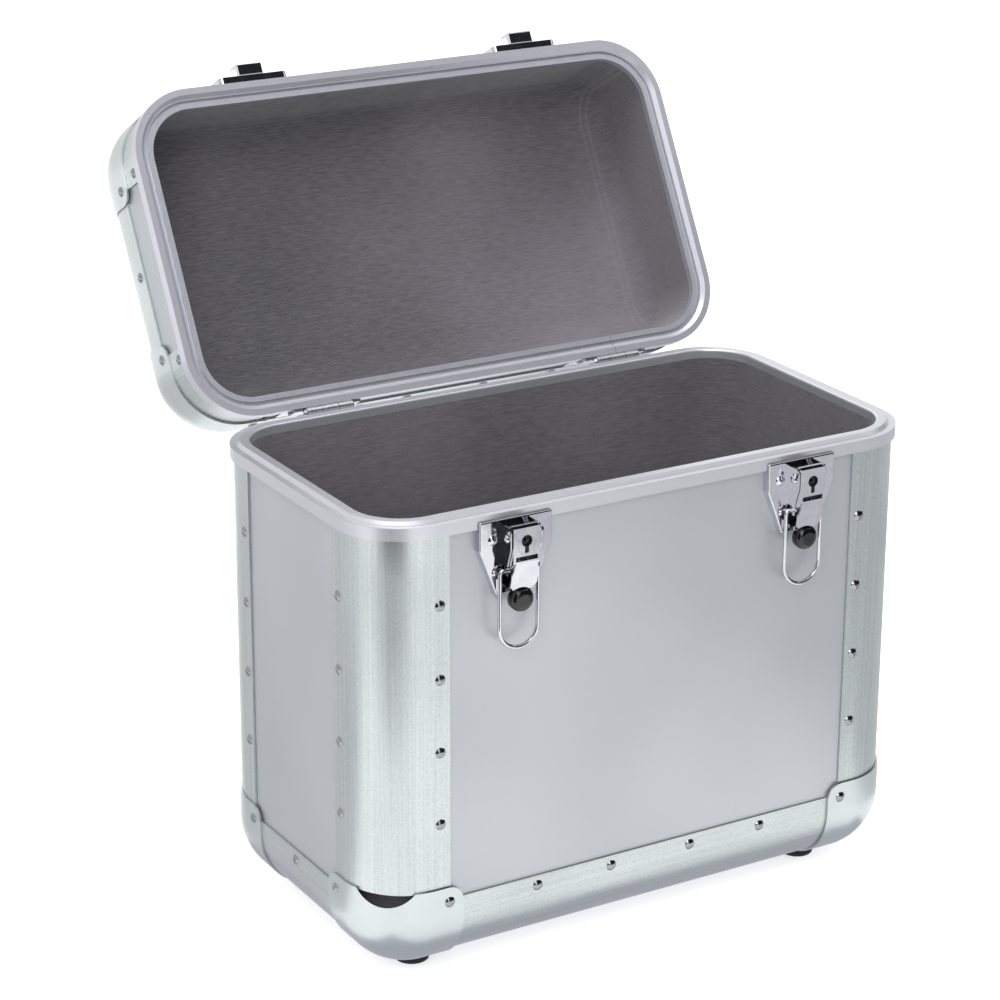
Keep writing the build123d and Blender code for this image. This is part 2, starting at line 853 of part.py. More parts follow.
screw_start = foot_recess_depth - screw_head_height
screw_end = base_z + inner_skin_out - slip
with BuildPart() as screw_blank:
    with Locations((0, 0, screw_start)):
        Cylinder(
            radius=screw_head_radius,
            height=screw_head_height,
            align=(Align.CENTER, Align.CENTER, Align.MIN),
        )
        Cylinder(
            radius=foot_screw_radius,
            height=screw_end - screw_start,
            align=(Align.CENTER, Align.CENTER, Align.MIN),
        )
        Box(screw_slot_length, screw_slot_width, screw_head_height * 0.8, mode=Mode.SUBTRACT)
        Box(screw_slot_width, screw_slot_length, screw_head_height * 0.8, mode=Mode.SUBTRACT)

foot_spots = []
for side_x in (-1, 1):
    for side_y in (-1, 1):
        spot_x = side_x * (half_width - foot_inset_x)
        spot_y = side_y * (half_depth - foot_inset_y)
        foot_spots.append(Location((spot_x, spot_y, 0)))

with BuildPart() as rubber_feet:
    for spot in foot_spots:
        add(foot_blank.part.moved(spot))
rubber_feet.part.label = "rubber_feet"
export_step(rubber_feet.part, "parts/rubber_feet.step")

with BuildPart() as foot_screws:
    for spot in foot_spots:
        add(screw_blank.part.moved(spot))
foot_screws.part.label = "foot_screws"
export_step(foot_screws.part, "parts/foot_screws.step")


# hinges, drawn shut

def hinge_leaf(centre_x, side_z):
    """One hinge leaf, side_z -1 for the base and 1 for the lid."""
    front_y = hinge_leaf_inner
    back_y = front_y + hinge_leaf_thickness
    low_front = half_depth - panel_out + slip
    low_back = low_front + hinge_leaf_thickness
    top = running_gap
    jog = hinge_jog
    profile = [
        (front_y, top),
        (back_y, top),
        (back_y, jog + hinge_leaf_thickness),
        (low_back, jog + hinge_leaf_thickness),
        (low_back, hinge_leaf_reach),
        (low_front, hinge_leaf_reach),
        (low_front, jog),
        (front_y, jog),
        (front_y, top),
    ]
    with BuildPart() as leaf:
        with BuildSketch(Plane.YZ.offset(centre_x)):
            with BuildLine():
                Polyline(*[(point[0], parting_z + side_z * point[1]) for point in profile])
            make_face()
        extrude(amount=hinge_leaf_width / 2, both=True)
        corners = leaf.edges().filter_by(Axis.Y)
        tip_z = parting_z + side_z * hinge_leaf_reach
        tip = corners.filter_by(lambda edge: abs(edge.center().Z - tip_z) < 0.1)
        fillet(tip, hinge_leaf_corner)
        swing_room = 2 * (knuckle_radius + running_gap)
        with Locations((centre_x, hinge_y, parting_z)):
            Box(2 * (knuckle_half + pin_head_room), swing_room, swing_room, mode=Mode.SUBTRACT)
        if side_z < 0:
            spans = ((-knuckle_half, -knuckle_split), (knuckle_split, knuckle_half))
        else:
            spans = ((-knuckle_split + running_gap, knuckle_split - running_gap),)
        for span in spans:
            length = span[1] - span[0]
            middle = centre_x + (span[0] + span[1]) / 2
            with Locations((middle, (front_y + back_y) / 2, parting_z + side_z * (swing_room / 4))):
                Box(length, hinge_leaf_thickness, swing_room / 2)
            with Locations(Location((middle, hinge_y, parting_z), (0, 90, 0))):
                Cylinder(radius=knuckle_radius, height=length)
        with Locations(Location((centre_x, hinge_y, parting_z), (0, 90, 0))):
            Cylinder(
                radius=hinge_pin_radius + pin_slip, height=hinge_leaf_width, mode=Mode.SUBTRACT
            )
        rivet_z = parting_z + side_z * hinge_rivet_height
        spots = [(centre_x + step, rivet_z) for step in hinge_rivet_steps]
        drill(at_y(spots, half_depth, 90))
    return leaf.part


with BuildPart() as hinge_body_leaves:
    for side in (-1, 1):
        add(hinge_leaf(side * hinge_x, -1))
hinge_body_leaves.part.label = "hinge_body_leaves"
export_step(hinge_body_leaves.part, "parts/hinge_body_leaves.step")

with BuildPart() as hinge_lid_leaves:
    for side in (-1, 1):
        add(hinge_leaf(side * hinge_x, 1).moved(lid_swing))
hinge_lid_leaves.part.label = "hinge_lid_leaves"
export_step(hinge_lid_leaves.part, "parts/hinge_lid_leaves.step")

with BuildPart() as hinge_pins:
    for side in (-1, 1):
        with Locations(Location((side * hinge_x, hinge_y, parting_z), (0, 90, 0))):
            Cylinder(radius=hinge_pin_radius, height=2 * knuckle_half + 1.0)
        for end in (-1, 1):
            end_x = side * hinge_x + end * (knuckle_half + 0.2)
            turn = (0, 90 * end, 0)
            with Locations(Location((end_x, hinge_y, parting_z), turn)):
                Cone(
                    bottom_radius=pin_head_radius,
                    top_radius=pin_head_radius * 0.6,
                    height=pin_head_length,
                    align=(Align.CENTER, Align.CENTER, Align.MIN),
                )
hinge_pins.part.label = "hinge_pins"
export_step(hinge_pins.part, "parts/hinge_pins.step")

leaf_surface = half_depth - panel_out + slip + hinge_leaf_thickness
hinge_rivet = dome_rivet(
    hinge_rivet_head_radius,
    hinge_rivet_head_height,
    hinge_rivet_shank_radius,
    hinge_rivet_shank_length,
)
hinge_base_spots = at_y(hinge_body_rivet_places, leaf_surface, -90)
hinge_lid_spots = at_y(hinge_lid_rivet_places, leaf_surface, -90)
hinge_body_rivets = rivet_group(hinge_rivet, hinge_base_spots)
hinge_body_rivets.part.label = "hinge_body_rivets"
export_step(hinge_body_rivets.part, "parts/hinge_body_rivets.step")


# latches

def out(distance):
    """Y of a point this far in front of the front extrusion faces."""
    return -half_depth - distance


def plate_outline(inset, top_drop, tip_trim):
    """Outline of a latch base plate as (x, drop) pairs about its own centre."""
    return [
        (-plate_half_width + inset, top_drop),
        (plate_half_width - inset, top_drop),
        (plate_half_width - inset, plate_shoulder_drop),
        (plate_tip_half - inset * 0.6, plate_tip_drop - tip_trim),
        (-plate_tip_half + inset * 0.6, plate_tip_drop - tip_trim),
        (-plate_half_width + inset, plate_shoulder_drop),
        (-plate_half_width + inset, top_drop),
    ]


def latch_sheet(centre_x, inset, top_drop, tip_trim, near, far):
    """A block in the shape of the base plate between two distances from the front."""
    with BuildPart() as sheet:
        with BuildSketch(Plane.XZ.offset(half_depth + near)):
            with BuildLine():
                outline = plate_outline(inset, top_drop, tip_trim)
                Polyline(*[(centre_x + spot[0], parting_z - spot[1]) for spot in outline])
            make_face()
        extrude(amount=far - near)
    return sheet.part


panel_face = -panel_out + slip
ear_inner = lever_half_width + ear_gap
ear_outer = ear_inner + ear_thickness


def side_cheek(centre_x, points, inner, outer):
    """Two matching cheeks cut from sheet, drawn as (distance out, drop) pairs."""
    with BuildPart() as cheeks:
        for side in (-1, 1):
            start = centre_x + side * inner
            with BuildSketch(Plane.YZ.offset(start)):
                with BuildLine():
                    Polyline(*[(out(spot[0]), parting_z - spot[1]) for spot in points])
                make_face()
            extrude(amount=side * (outer - inner))
    return cheeks.part


for side, name in ((-1, "left"), (1, "right")):
    centre_x = side * latch_x

    with BuildPart() as base_plate:
        add(latch_sheet(centre_x, 0, plate_top_drop, 0, panel_face, plate_front))
        add(
            latch_sheet(
                centre_x,
                plate_thickness,
                -1.0,
                plate_thickness,
                panel_face - 1.0,
                plate_front - plate_thickness,
            ),
            mode=Mode.SUBTRACT,
        )
        with Locations((centre_x, out(-1.0), parting_z)):
            Box(
                2 * plate_half_width + 10,
                2 * (rim_proud + running_gap + 1.0),
                2 * (rim_band + running_gap),
                mode=Mode.SUBTRACT,
            )
        corners = base_plate.edges().filter_by(Axis.Y)
        outer_corners = corners.filter_by(lambda edge: edge.center().Z > parting_z - plate_top_drop - 0.1)
        outer_corners = outer_corners.filter_by(
            lambda edge: abs(edge.center().X - centre_x) > plate_half_width - 0.1
        )
        fillet(outer_corners, 1.0)
        face_edges = base_plate.faces().sort_by(Axis.Y)[0].outer_wire().edges()
        lower_edges = face_edges.filter_by(lambda edge: edge.center().Z < parting_z - rim_band - 1.0)
        fillet(lower_edges, plate_edge_radius)
        ear_points = [
            (plate_front - 0.4, 30.0),
            (plate_front - 0.4, 6.0),
            (13.4, 6.0),
            (15.0, 8.5),
            (15.0, 18.0),
            (11.0, 30.0),
            (plate_front - 0.4, 30.0),
        ]
        add(side_cheek(centre_x, ear_points, ear_inner, ear_outer))
        with Locations(Location((centre_x, out(pivot_out), parting_z - pivot_drop), (0, 90, 0))):
            Cylinder(radius=pivot_radius + pin_slip, height=40.0, mode=Mode.SUBTRACT)
        for step in (-1, 1):
            rivet_spot = (centre_x + step * plate_rivet_x, parting_z - plate_rivet_drop)
            small_spot = (centre_x + step * small_rivet_x, parting_z - small_rivet_drop)
            drill(at_y([rivet_spot], -half_depth, 90))
            drill(at_y([small_spot], -half_depth, 90), small_rivet_shank_radius + rivet_hole_slip)
    label = name + "_latch_plate"
    base_plate.part.label = label
    export_step(base_plate.part, "parts/" + label + ".step")

    neck_drop = lever_top_drop + lock_plate_height + slot_height
    neck_z = parting_z - neck_drop
    with BuildPart() as lever:
        front_height = lock_plate_height + slot_height + 1.0
        front_middle = parting_z - lever_top_drop - front_height / 2
        with Locations((centre_x, out(lever_front - plate_thickness / 2), front_middle)):
            Box(2 * lever_half_width, plate_thickness, front_height)
        slot_z = neck_z + slot_height / 2
        with Locations((centre_x, out(lever_front), slot_z)):
            Box(2 * slot_half_width, 6.0, slot_height, mode=Mode.SUBTRACT)
        strip_top = lever_top_drop - top_strip_height
        strip_middle = parting_z - lever_top_drop + top_strip_height / 2 - 0.2
        with Locations((centre_x, out(top_strip_out - plate_thickness / 2), strip_middle)):
            Box(2 * lever_half_width, plate_thickness, top_strip_height + 0.4)
        cheek_points = [
            (lever_front, lever_top_drop),
            (top_strip_out, lever_top_drop),
            (top_strip_out, strip_top),
            (top_strip_out - plate_thickness, strip_top),
            (8.4, 9.4),
            (5.6, 12.5),
            (5.4, 36.5),
            (10.5, 36.5),
            (lever_front - 0.2, neck_drop + 0.5),
            (lever_front, lever_top_drop),
        ]
        add(side_cheek(centre_x, cheek_points, lever_half_width - plate_thickness, lever_half_width))
    with BuildPart() as tongue:
        with BuildSketch(Plane.YZ.offset(centre_x)):
            with BuildLine():
                front_line = Spline(
                    (out(lever_front), neck_z),
                    (out(lever_front - 1.3), neck_z - 8.0),
                    (out(tongue_end_out), parting_z - tongue_end_drop),
                    tangents=[(0, -1), (0.35, -1)],
                )
                back_line = Spline(
                    (out(lever_front - plate_thickness), neck_z),
                    (out(lever_front - plate_thickness - 1.3), neck_z - 7.7),
                    (out(tongue_end_out - plate_thickness), parting_z - tongue_end_drop + plate_thickness),
                    tangents=[(0, -1), (0.35, -1)],
                )
                Line(front_line @ 0, back_line @ 0)
                Polyline(
                    front_line @ 1,
                    (out(tongue_back), parting_z - tongue_end_drop),
                    (out(tongue_back), parting_z - tongue_tail_drop),
                    (out(tongue_back - plate_thickness), parting_z - tongue_tail_drop),
                    (out(tongue_back - plate_thickness), parting_z - tongue_end_drop + plate_thickness),
                    back_line @ 1,
                )
            make_face()
        extrude(amount=lever_half_width, both=True)
    with BuildPart() as waist:
        with BuildSketch(Plane.XZ.offset(half_depth)):
            with BuildLine():
                left_side = Spline(
                    (centre_x - slot_half_width, neck_z),
                    (centre_x - 7.5, neck_z - 3.5),
                    (centre_x - 8.5, neck_z - 8.0),
                    (centre_x - lever_half_width, parting_z - tongue_end_drop + 3.0),
                    tangents=[(0, -1), (0, -1)],
                )
                right_side = Spline(
                    (centre_x + slot_half_width, neck_z),
                    (centre_x + 7.5, neck_z - 3.5),
                    (centre_x + 8.5, neck_z - 8.0),
                    (centre_x + lever_half_width, parting_z - tongue_end_drop + 3.0),
                    tangents=[(0, -1), (0, -1)],
                )
                Line(left_side @ 0, right_side @ 0)
                Polyline(
                    left_side @ 1,
                    (centre_x - tongue_tail_half, parting_z - tongue_end_drop),
                    (centre_x - tongue_tail_half, parting_z - tongue_tail_drop),
                    (centre_x + tongue_tail_half, parting_z - tongue_tail_drop),
                    (centre_x + tongue_tail_half, parting_z - tongue_end_drop),
                    right_side @ 1,
                )
            make_face()
        extrude(amount=30.0)
    with BuildPart() as whole_lever:
        add(tongue.part)
        add(waist.part, mode=Mode.INTERSECT)
        add(lever.part)
        with Locations(Location((centre_x, out(lever_front), parting_z - keyhole_drop), (90, 0, 0))):
            Cylinder(radius=keyhole_radius, height=6.0, mode=Mode.SUBTRACT)
        with Locations((centre_x, out(lever_front), parting_z - keyhole_drop - keyhole_reach / 2)):
            Box(keyhole_slot, 6.0, keyhole_reach, mode=Mode.SUBTRACT)
        with Locations(Location((centre_x, out(pivot_out), parting_z - pivot_drop), (0, 90, 0))):
            Cylinder(radius=pivot_radius + pin_slip, height=40.0, mode=Mode.SUBTRACT)
        with Locations(Location((centre_x, out(bail_out), parting_z - bail_drop), (0, 90, 0))):
            Cylinder(radius=bail_wire_radius + pin_slip, height=40.0, mode=Mode.SUBTRACT)
    label = name + "_latch_lever"
    whole_lever.part.label = label
    export_step(whole_lever.part, "parts/" + label + ".step")

    with BuildPart() as lock_case:
        case_front = lever_front - plate_thickness
        case_middle = parting_z - lever_top_drop - lock_plate_height / 2
        with Locations((centre_x, out(case_front - lock_case_depth / 2), case_middle)):
            Box(2 * (slot_half_width + 0.4), lock_case_depth, lock_plate_height - 2.0)
        with Locations(Location((centre_x, out(case_front), parting_z - keyhole_drop), (90, 0, 0))):
            Cylinder(radius=keyhole_radius + 0.4, height=2.6, mode=Mode.SUBTRACT)
            Cylinder(radius=0.9, height=2.8)
    label = name + "_lock_case"
    lock_case.part.label = label
    export_step(lock_case.part, "parts/" + label + ".step")

    with BuildPart() as knob:
        knob_depth = knob_front - tongue_back - slip
        with Locations(Location((centre_x, out(tongue_back + slip), parting_z - knob_drop), (90, 0, 0))):
            Cylinder(
                radius=knob_radius, height=knob_depth, align=(Align.CENTER, Align.CENTER, Align.MIN)
            )
        fillet(knob.faces().sort_by(Axis.Y)[0].edges(), knob_edge_radius)
        with Locations((centre_x, out(knob_front), parting_z - tongue_end_drop + 10.0 - running_gap)):
            Box(30.0, 30.0, 20.0, mode=Mode.SUBTRACT)
    label = name + "_latch_knob"
    knob.part.label = label
    export_step(knob.part, "parts/" + label + ".step")

    with BuildPart() as spring:
        coil_length = 2 * (lever_half_width - plate_thickness - running_gap - spring_wire_radius)
        start = Location((centre_x - coil_length / 2, out(spring_out), slot_z), (0, 90, 0))
        with BuildLine() as coil:
            Helix(pitch=coil_length / spring_turns, height=coil_length, radius=spring_coil_radius)
        with BuildSketch(Plane(origin=coil.line @ 0, z_dir=coil.line % 0)):
            Circle(spring_wire_radius)
        sweep(path=coil.line)
    with BuildPart() as placed_spring:
        add(spring.part.moved(start))
    label = name + "_latch_spring"
    placed_spring.part.label = label
    export_step(placed_spring.part, "parts/" + label + ".step")

    with BuildPart() as bail:
        pivot_z = parting_z - bail_drop
        bottom_z = pivot_z - bail_length
        reach_in = lever_half_width - plate_thickness - 0.8
        arc_radius = bail_half_width
        plane = Plane(origin=(centre_x, out(bail_out), 0), x_dir=(1, 0, 0), z_dir=(0, -1, 0))
        with BuildLine(plane) as wire:
            FilletPolyline(
                (-reach_in, pivot_z),
                (-bail_half_width, pivot_z),
                (-bail_half_width, bottom_z + arc_radius),
                radius=bail_bend_radius,
            )
            ThreePointArc(
                (-bail_half_width, bottom_z + arc_radius),
                (0, bottom_z),
                (bail_half_width, bottom_z + arc_radius),
            )
            FilletPolyline(
                (bail_half_width, bottom_z + arc_radius),
                (bail_half_width, pivot_z),
                (reach_in, pivot_z),
                radius=bail_bend_radius,
            )
        start_plane = Plane(origin=(centre_x - reach_in, out(bail_out), pivot_z), z_dir=(-1, 0, 0))
        with BuildSketch(start_plane):
            Circle(bail_wire_radius)
        sweep(path=wire.line)
    label = name + "_latch_bail"
    bail.part.label = label
    export_step(bail.part, "parts/" + label + ".step")

with BuildPart() as latch_pins:
    for side in (-1, 1):
        centre = (side * latch_x, out(pivot_out), parting_z - pivot_drop)
        with Locations(Location(centre, (0, 90, 0))):
            Cylinder(radius=pivot_radius, height=2 * ear_outer + 0.4)
        for end in (-1, 1):
            end_x = side * latch_x + end * (ear_outer + slip)
            with Locations(Location((end_x, out(pivot_out), parting_z - pivot_drop), (0, 90 * end, 0))):
                Cone(
                    bottom_radius=latch_pin_head_radius,
                    top_radius=pivot_radius,
                    height=latch_pin_head_length,
                    align=(Align.CENTER, Align.CENTER, Align.MIN),
                )
latch_pins.part.label = "latch_pins"
export_step(latch_pins.part, "parts/latch_pins.step")

plate_shank_length = plate_front + panel_in - 1.0
plate_rivet = dome_rivet(
    plate_rivet_head_radius, plate_rivet_head_height, plate_rivet_shank_radius, plate_shank_length
)
small_rivet = dome_rivet(
    small_rivet_head_radius, small_rivet_head_height, small_rivet_shank_radius, plate_shank_length
)
with BuildPart() as latch_rivets:
    for place in at_y(latch_rivet_places, out(plate_front), 90):
        add(plate_rivet.moved(place))
    for place in at_y(latch_small_places, out(plate_front), 90):
        add(small_rivet.moved(place))
latch_rivets.part.label = "latch_rivets"
export_step(latch_rivets.part, "parts/latch_rivets.step")


# catches on the lid, drawn shut
closed_catches = []
for side in (-1, 1):
    centre_x = side * latch_x
    middle_z = parting_z + (catch_low + catch_high) / 2
    height = catch_high - catch_low
    with BuildPart() as catch:
        with Locations((centre_x, out((panel_face + catch_front) / 2), middle_z)):
            Box(2 * catch_half_width, catch_front - panel_face, height)
        with Locations((centre_x, out((panel_face + catch_front) / 2 - plate_thickness), middle_z)):
            Box(
                2 * (catch_half_width - plate_thickness),
                catch_front - panel_face,
                height - 2 * plate_thickness,
                mode=Mode.SUBTRACT,
            )
        fillet(catch.edges().filter_by(Axis.Y).group_by(Axis.X)[0], catch_corner)
        fillet(catch.edges().filter_by(Axis.Y).group_by(Axis.X)[-1], catch_corner)
        with Locations((centre_x, out(-1.0), parting_z)):
            Box(
                2 * catch_half_width + 10,
                2 * (rim_proud + running_gap + 1.0),
                2 * (rim_band + running_gap),
                mode=Mode.SUBTRACT,
            )
        with BuildSketch(Plane.YZ.offset(centre_x)):
            with BuildLine():
                hook_points = [
                    (catch_front - 0.4, hook_root),
                    (catch_front + 1.2, hook_root + 0.6),
                    (hook_front - 1.0, hook_root + 0.6),
                    (hook_front, hook_root + 1.6),
                    (hook_front, hook_lip_top),
                    (hook_front - hook_thickness, hook_lip_top),
                    (hook_front - hook_thickness, hook_shelf + 0.9),
                    (hook_front - hook_thickness - 1.0, hook_shelf),
                    (catch_front - 0.4, hook_shelf - 0.6),
                    (catch_front - 0.4, hook_root),
                ]
                Polyline(*[(out(spot[0]), parting_z + spot[1]) for spot in hook_points])
            make_face()
        extrude(amount=hook_half_width, both=True)
        rivet_z = parting_z + catch_rivet_height
        spots = [(centre_x - plate_rivet_x, rivet_z), (centre_x + plate_rivet_x, rivet_z)]
        drill(at_y(spots, -half_depth, 90))
    closed_catches.append(catch.part)
with BuildPart() as lid_catches:
    for piece in closed_catches:
        add(piece.moved(lid_swing))
lid_catches.part.label = "lid_catches"
export_step(lid_catches.part, "parts/lid_catches.step")


# carrying handle on the lid, drawn shut and hanging as it does with the lid open
top_face = lid_top_z - panel_out
handle_axis_z = top_face + handle_pivot_height
hang_angle = open_angle - 90.0

closed_brackets = []
for side in (-1, 1):
    centre_x = side * handle_pivot_half
    with BuildPart() as bracket:
        with Locations((centre_x, 0, top_face + slip + handle_plate_thickness / 2)):
            Box(handle_plate_length, handle_plate_width, handle_plate_thickness)
        fillet(bracket.edges().filter_by(Axis.Z), 5.0)
        with BuildSketch(Plane.YZ.offset(centre_x)):
            with Locations((0, handle_axis_z)):
                Circle(handle_lug_radius)
            with Locations((0, (top_face + handle_axis_z) / 2 + 0.5)):
                Rectangle(2 * handle_lug_radius, handle_pivot_height - 1.0)
        extrude(amount=handle_lug_half, both=True)
        with Locations(Location((centre_x, 0, handle_axis_z), (0, 90, 0))):
            Cylinder(radius=handle_wire_radius + pin_slip, height=20.0, mode=Mode.SUBTRACT)
        drill([Location((centre_x + step, 0, lid_top_z)) for step in (-handle_rivet_step, handle_rivet_step)])
    closed_brackets.append(bracket.part)
with BuildPart() as handle_brackets:
    for piece in closed_brackets:
        add(piece.moved(lid_swing))
handle_brackets.part.label = "handle_brackets"
export_step(handle_brackets.part, "parts/handle_brackets.step")

handle_turn = Location((0, 0, handle_axis_z)) * Location((0, 0, 0), (hang_angle, 0, 0))
handle_out = handle_pivot_half + handle_lug_half + 2.0
handle_in = handle_pivot_half - handle_lug_half - 8.0
with BuildPart() as flat_bail:
    with BuildLine(Plane.XY) as handle_path:
        FilletPolyline(
            (-handle_out, 0),
            (-handle_in, 0),
            (-handle_in, handle_reach),
            (handle_in, handle_reach),
            (handle_in, 0),
            (handle_out, 0),
            radius=handle_bend_radius,
        )
    with BuildSketch(Plane(origin=(-handle_out, 0, 0), z_dir=(1, 0, 0))):
        Circle(handle_wire_radius)
    sweep(path=handle_path.line)
with BuildPart() as handle_bail:
    add(flat_bail.part.moved(handle_turn).moved(lid_swing))
handle_bail.part.label = "handle_bail"
export_step(handle_bail.part, "parts/handle_bail.step")

with BuildPart() as flat_grip:
    with BuildSketch(Plane.YZ):
        with Locations((handle_reach, 0)):
            RectangleRounded(handle_grip_depth, handle_grip_thickness, grip_corner)
    extrude(amount=handle_grip_half, both=True)
    fillet(flat_grip.faces().sort_by(Axis.X)[0].edges(), grip_end_radius)
    fillet(flat_grip.faces().sort_by(Axis.X)[-1].edges(), grip_end_radius)
    with Locations(Location((0, handle_reach, 0), (0, 90, 0))):
        Cylinder(radius=handle_wire_radius + pin_slip, height=2 * handle_grip_half + 10, mode=Mode.SUBTRACT)
with BuildPart() as handle_grip:
    add(flat_grip.part.moved(handle_turn).moved(lid_swing))
handle_grip.part.label = "handle_grip"
export_step(handle_grip.part, "parts/handle_grip.step")

handle_rivet = dome_rivet(
    handle_rivet_head_radius,
    handle_rivet_head_height,
    handle_rivet_shank_radius,
    handle_rivet_shank_length,
)
catch_rivet = dome_rivet(
    plate_rivet_head_radius,
    plate_rivet_head_height,
    plate_rivet_shank_radius,
    plate_shank_length + catch_front - plate_front,
)
handle_rivet_spots = []
for spot in handle_rivet_places:
    handle_rivet_spots.append(Location((spot[0], spot[1], top_face + slip + handle_plate_thickness)))
with BuildPart() as lid_fitting_rivets:
    for place in handle_rivet_spots:
        add(handle_rivet.moved(place).moved(lid_swing))
    for place in hinge_lid_spots:
        add(hinge_rivet.moved(place).moved(lid_swing))
    for place in at_y(catch_rivet_places, out(catch_front), 90):
        add(catch_rivet.moved(place).moved(lid_swing))
lid_fitting_rivets.part.label = "lid_fitting_rivets"
export_step(lid_fitting_rivets.part, "parts/lid_fitting_rivets.step")
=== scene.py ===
import json
import math

import bpy
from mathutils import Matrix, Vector

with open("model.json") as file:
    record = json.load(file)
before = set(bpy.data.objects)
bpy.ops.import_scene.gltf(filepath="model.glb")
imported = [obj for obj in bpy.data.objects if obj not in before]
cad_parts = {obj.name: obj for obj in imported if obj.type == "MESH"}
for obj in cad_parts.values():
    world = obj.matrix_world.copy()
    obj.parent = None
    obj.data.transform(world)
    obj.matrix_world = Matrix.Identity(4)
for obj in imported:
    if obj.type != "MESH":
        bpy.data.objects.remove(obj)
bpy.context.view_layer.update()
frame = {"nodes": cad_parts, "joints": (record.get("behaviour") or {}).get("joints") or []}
nodes = frame["nodes"]
lidHinge = next(joint for joint in frame["joints"] if joint["name"] == "lid_hinge")
openAngle = lidHinge["range_deg"][1]  # how far the lid stands open at rest, in degrees
noiseSpan = {"From Min": 0.3, "From Max": 0.7}  # where nearly all of a noise's values lie
print("frame loaded:", len(nodes), "nodes")


def hexToLinear(code):
    # sRGB hex to the linear colour that the shader sockets take
    channels = []
    for start in (1, 3, 5):
        value = int(code[start:start + 2], 16) / 255
        channels.append(value / 12.92 if value <= 0.04045 else ((value + 0.055) / 1.055) ** 2.4)
    return (channels[0], channels[1], channels[2], 1.0)


def addNode(tree, kind, settings=None, inputs=None):
    # one node with its settings; an input is a plain value or another node's output to link
    node = tree.nodes.new(kind)
    for key, value in (settings or {}).items():
        setattr(node, key, value)
    for key, value in (inputs or {}).items():
        if isinstance(value, bpy.types.NodeSocket):
            tree.links.new(value, node.inputs[key])
        else:
            node.inputs[key].default_value = value
    return node


def emptyTree(owner):
    # the node tree of a material or world, cleared
    owner.use_nodes = True
    owner.node_tree.nodes.clear()
    return owner.node_tree


def startMaterial(name):
    material = bpy.data.materials.new(name)
    return material, emptyTree(material)


def finishMaterial(tree, inputs):
    shader = addNode(tree, "ShaderNodeBsdfPrincipled", None, inputs)
    addNode(tree, "ShaderNodeOutputMaterial", None, {"Surface": shader.outputs["BSDF"]})


def casePlace(tree, onLid, stretch=(1.0, 1.0, 1.0)):
    # object coordinates in metres, turned level again where the piece is on the lid, then stretched
    place = addNode(tree, "ShaderNodeTexCoord")
    turned = place.outputs["Object"]
    if onLid:
        turned = addNode(
            tree, "ShaderNodeMapping", {"vector_type": "POINT"},
            {"Vector": turned, "Rotation": (math.radians(openAngle), 0, 0)},
        ).outputs["Vector"]
    return addNode(tree, "ShaderNodeMapping", None, {"Vector": turned, "Scale": stretch}).outputs["Vector"]


def evenStretch(sizeMm):
    # noise scale per metre for a grain of one size each way
    return (1000 / sizeMm,) * 3


def lineStretch(direction, alongMm, acrossMm):
    # noise scale per metre for lines that run along one axis
    stretch = [1000 / acrossMm] * 3
    stretch["xyz".index(direction)] = 1000 / alongMm
    return tuple(stretch)


def waveScale(periodMm):
    # Wave's Scale for bands of this period, in coordinates of metres
    return 2 * math.pi * 1000 / (20 * periodMm)


brushedSheet = {
    "colour": "#c4cac9",
    "darkLine": "#abb1b2",
    "roughness": (0.30, 0.44),
    "lineMm": 1.2,  # real lines are about 0.2 mm, drawn coarser so that they show
    "lengthMm": 140.0,
    "lineShare": 0.7,  # strength of the lines against the grain
    "grainMm": 1.1,
    "toneSpan": (0.55, 1.10),
    "cloudMm": 60.0,
    "bump": 0.05,
    "bumpDepth": 0.0004,
}


def brushedAluminium(name, direction, onLid=False):
    # mill-finished aluminium extrusion: fine die lines along it over a sandy grain, soft reflections
    material, tree = startMaterial(name)
    lineSize = lineStretch(direction, brushedSheet["lengthMm"], brushedSheet["lineMm"])
    lines = addNode(
        tree, "ShaderNodeTexNoise", None,
        {"Vector": casePlace(tree, onLid, lineSize), "Scale": 1.0, "Detail": 2.0, "Roughness": 0.5},
    )
    grain = addNode(
        tree, "ShaderNodeTexNoise", None,
        {
            "Vector": casePlace(tree, onLid, evenStretch(brushedSheet["grainMm"])),
            "Scale": 1.0, "Detail": 3.0, "Roughness": 0.6,
        },
    )
    clouds = addNode(
        tree, "ShaderNodeTexNoise", None,
        {
            "Vector": casePlace(tree, onLid, evenStretch(brushedSheet["cloudMm"])),
            "Scale": 1.0, "Detail": 2.0,
        },
    )
    weave = addNode(
        tree, "ShaderNodeMath", {"operation": "MULTIPLY_ADD"},
        {0: lines.outputs["Fac"], 1: brushedSheet["lineShare"], 2: grain.outputs["Fac"]},
    )
    toneLow, toneHigh = brushedSheet["toneSpan"]
    shade = addNode(
        tree, "ShaderNodeMapRange", None,
        {"Value": weave.outputs[0], "From Min": toneLow, "From Max": toneHigh},
    )
    mixed = addNode(
        tree, "ShaderNodeMix", {"data_type": "RGBA"},
        {
            0: shade.outputs["Result"],
            6: hexToLinear(brushedSheet["darkLine"]), 7: hexToLinear(brushedSheet["colour"]),
        },
    )
    low, high = brushedSheet["roughness"]
    rough = addNode(
        tree, "ShaderNodeMapRange", None,
        {"Value": clouds.outputs["Fac"], "To Min": low, "To Max": high, **noiseSpan},
    )
    bump = addNode(
        tree, "ShaderNodeBump", None,
        {
            "Height": weave.outputs[0],
            "Strength": brushedSheet["bump"], "Distance": brushedSheet["bumpDepth"],
        },
    )
    finishMaterial(tree, {
        "Base Color": mixed.outputs[2], "Roughness": rough.outputs["Result"],
        "Normal": bump.outputs["Normal"], "Metallic": 1.0,
    })
    return material


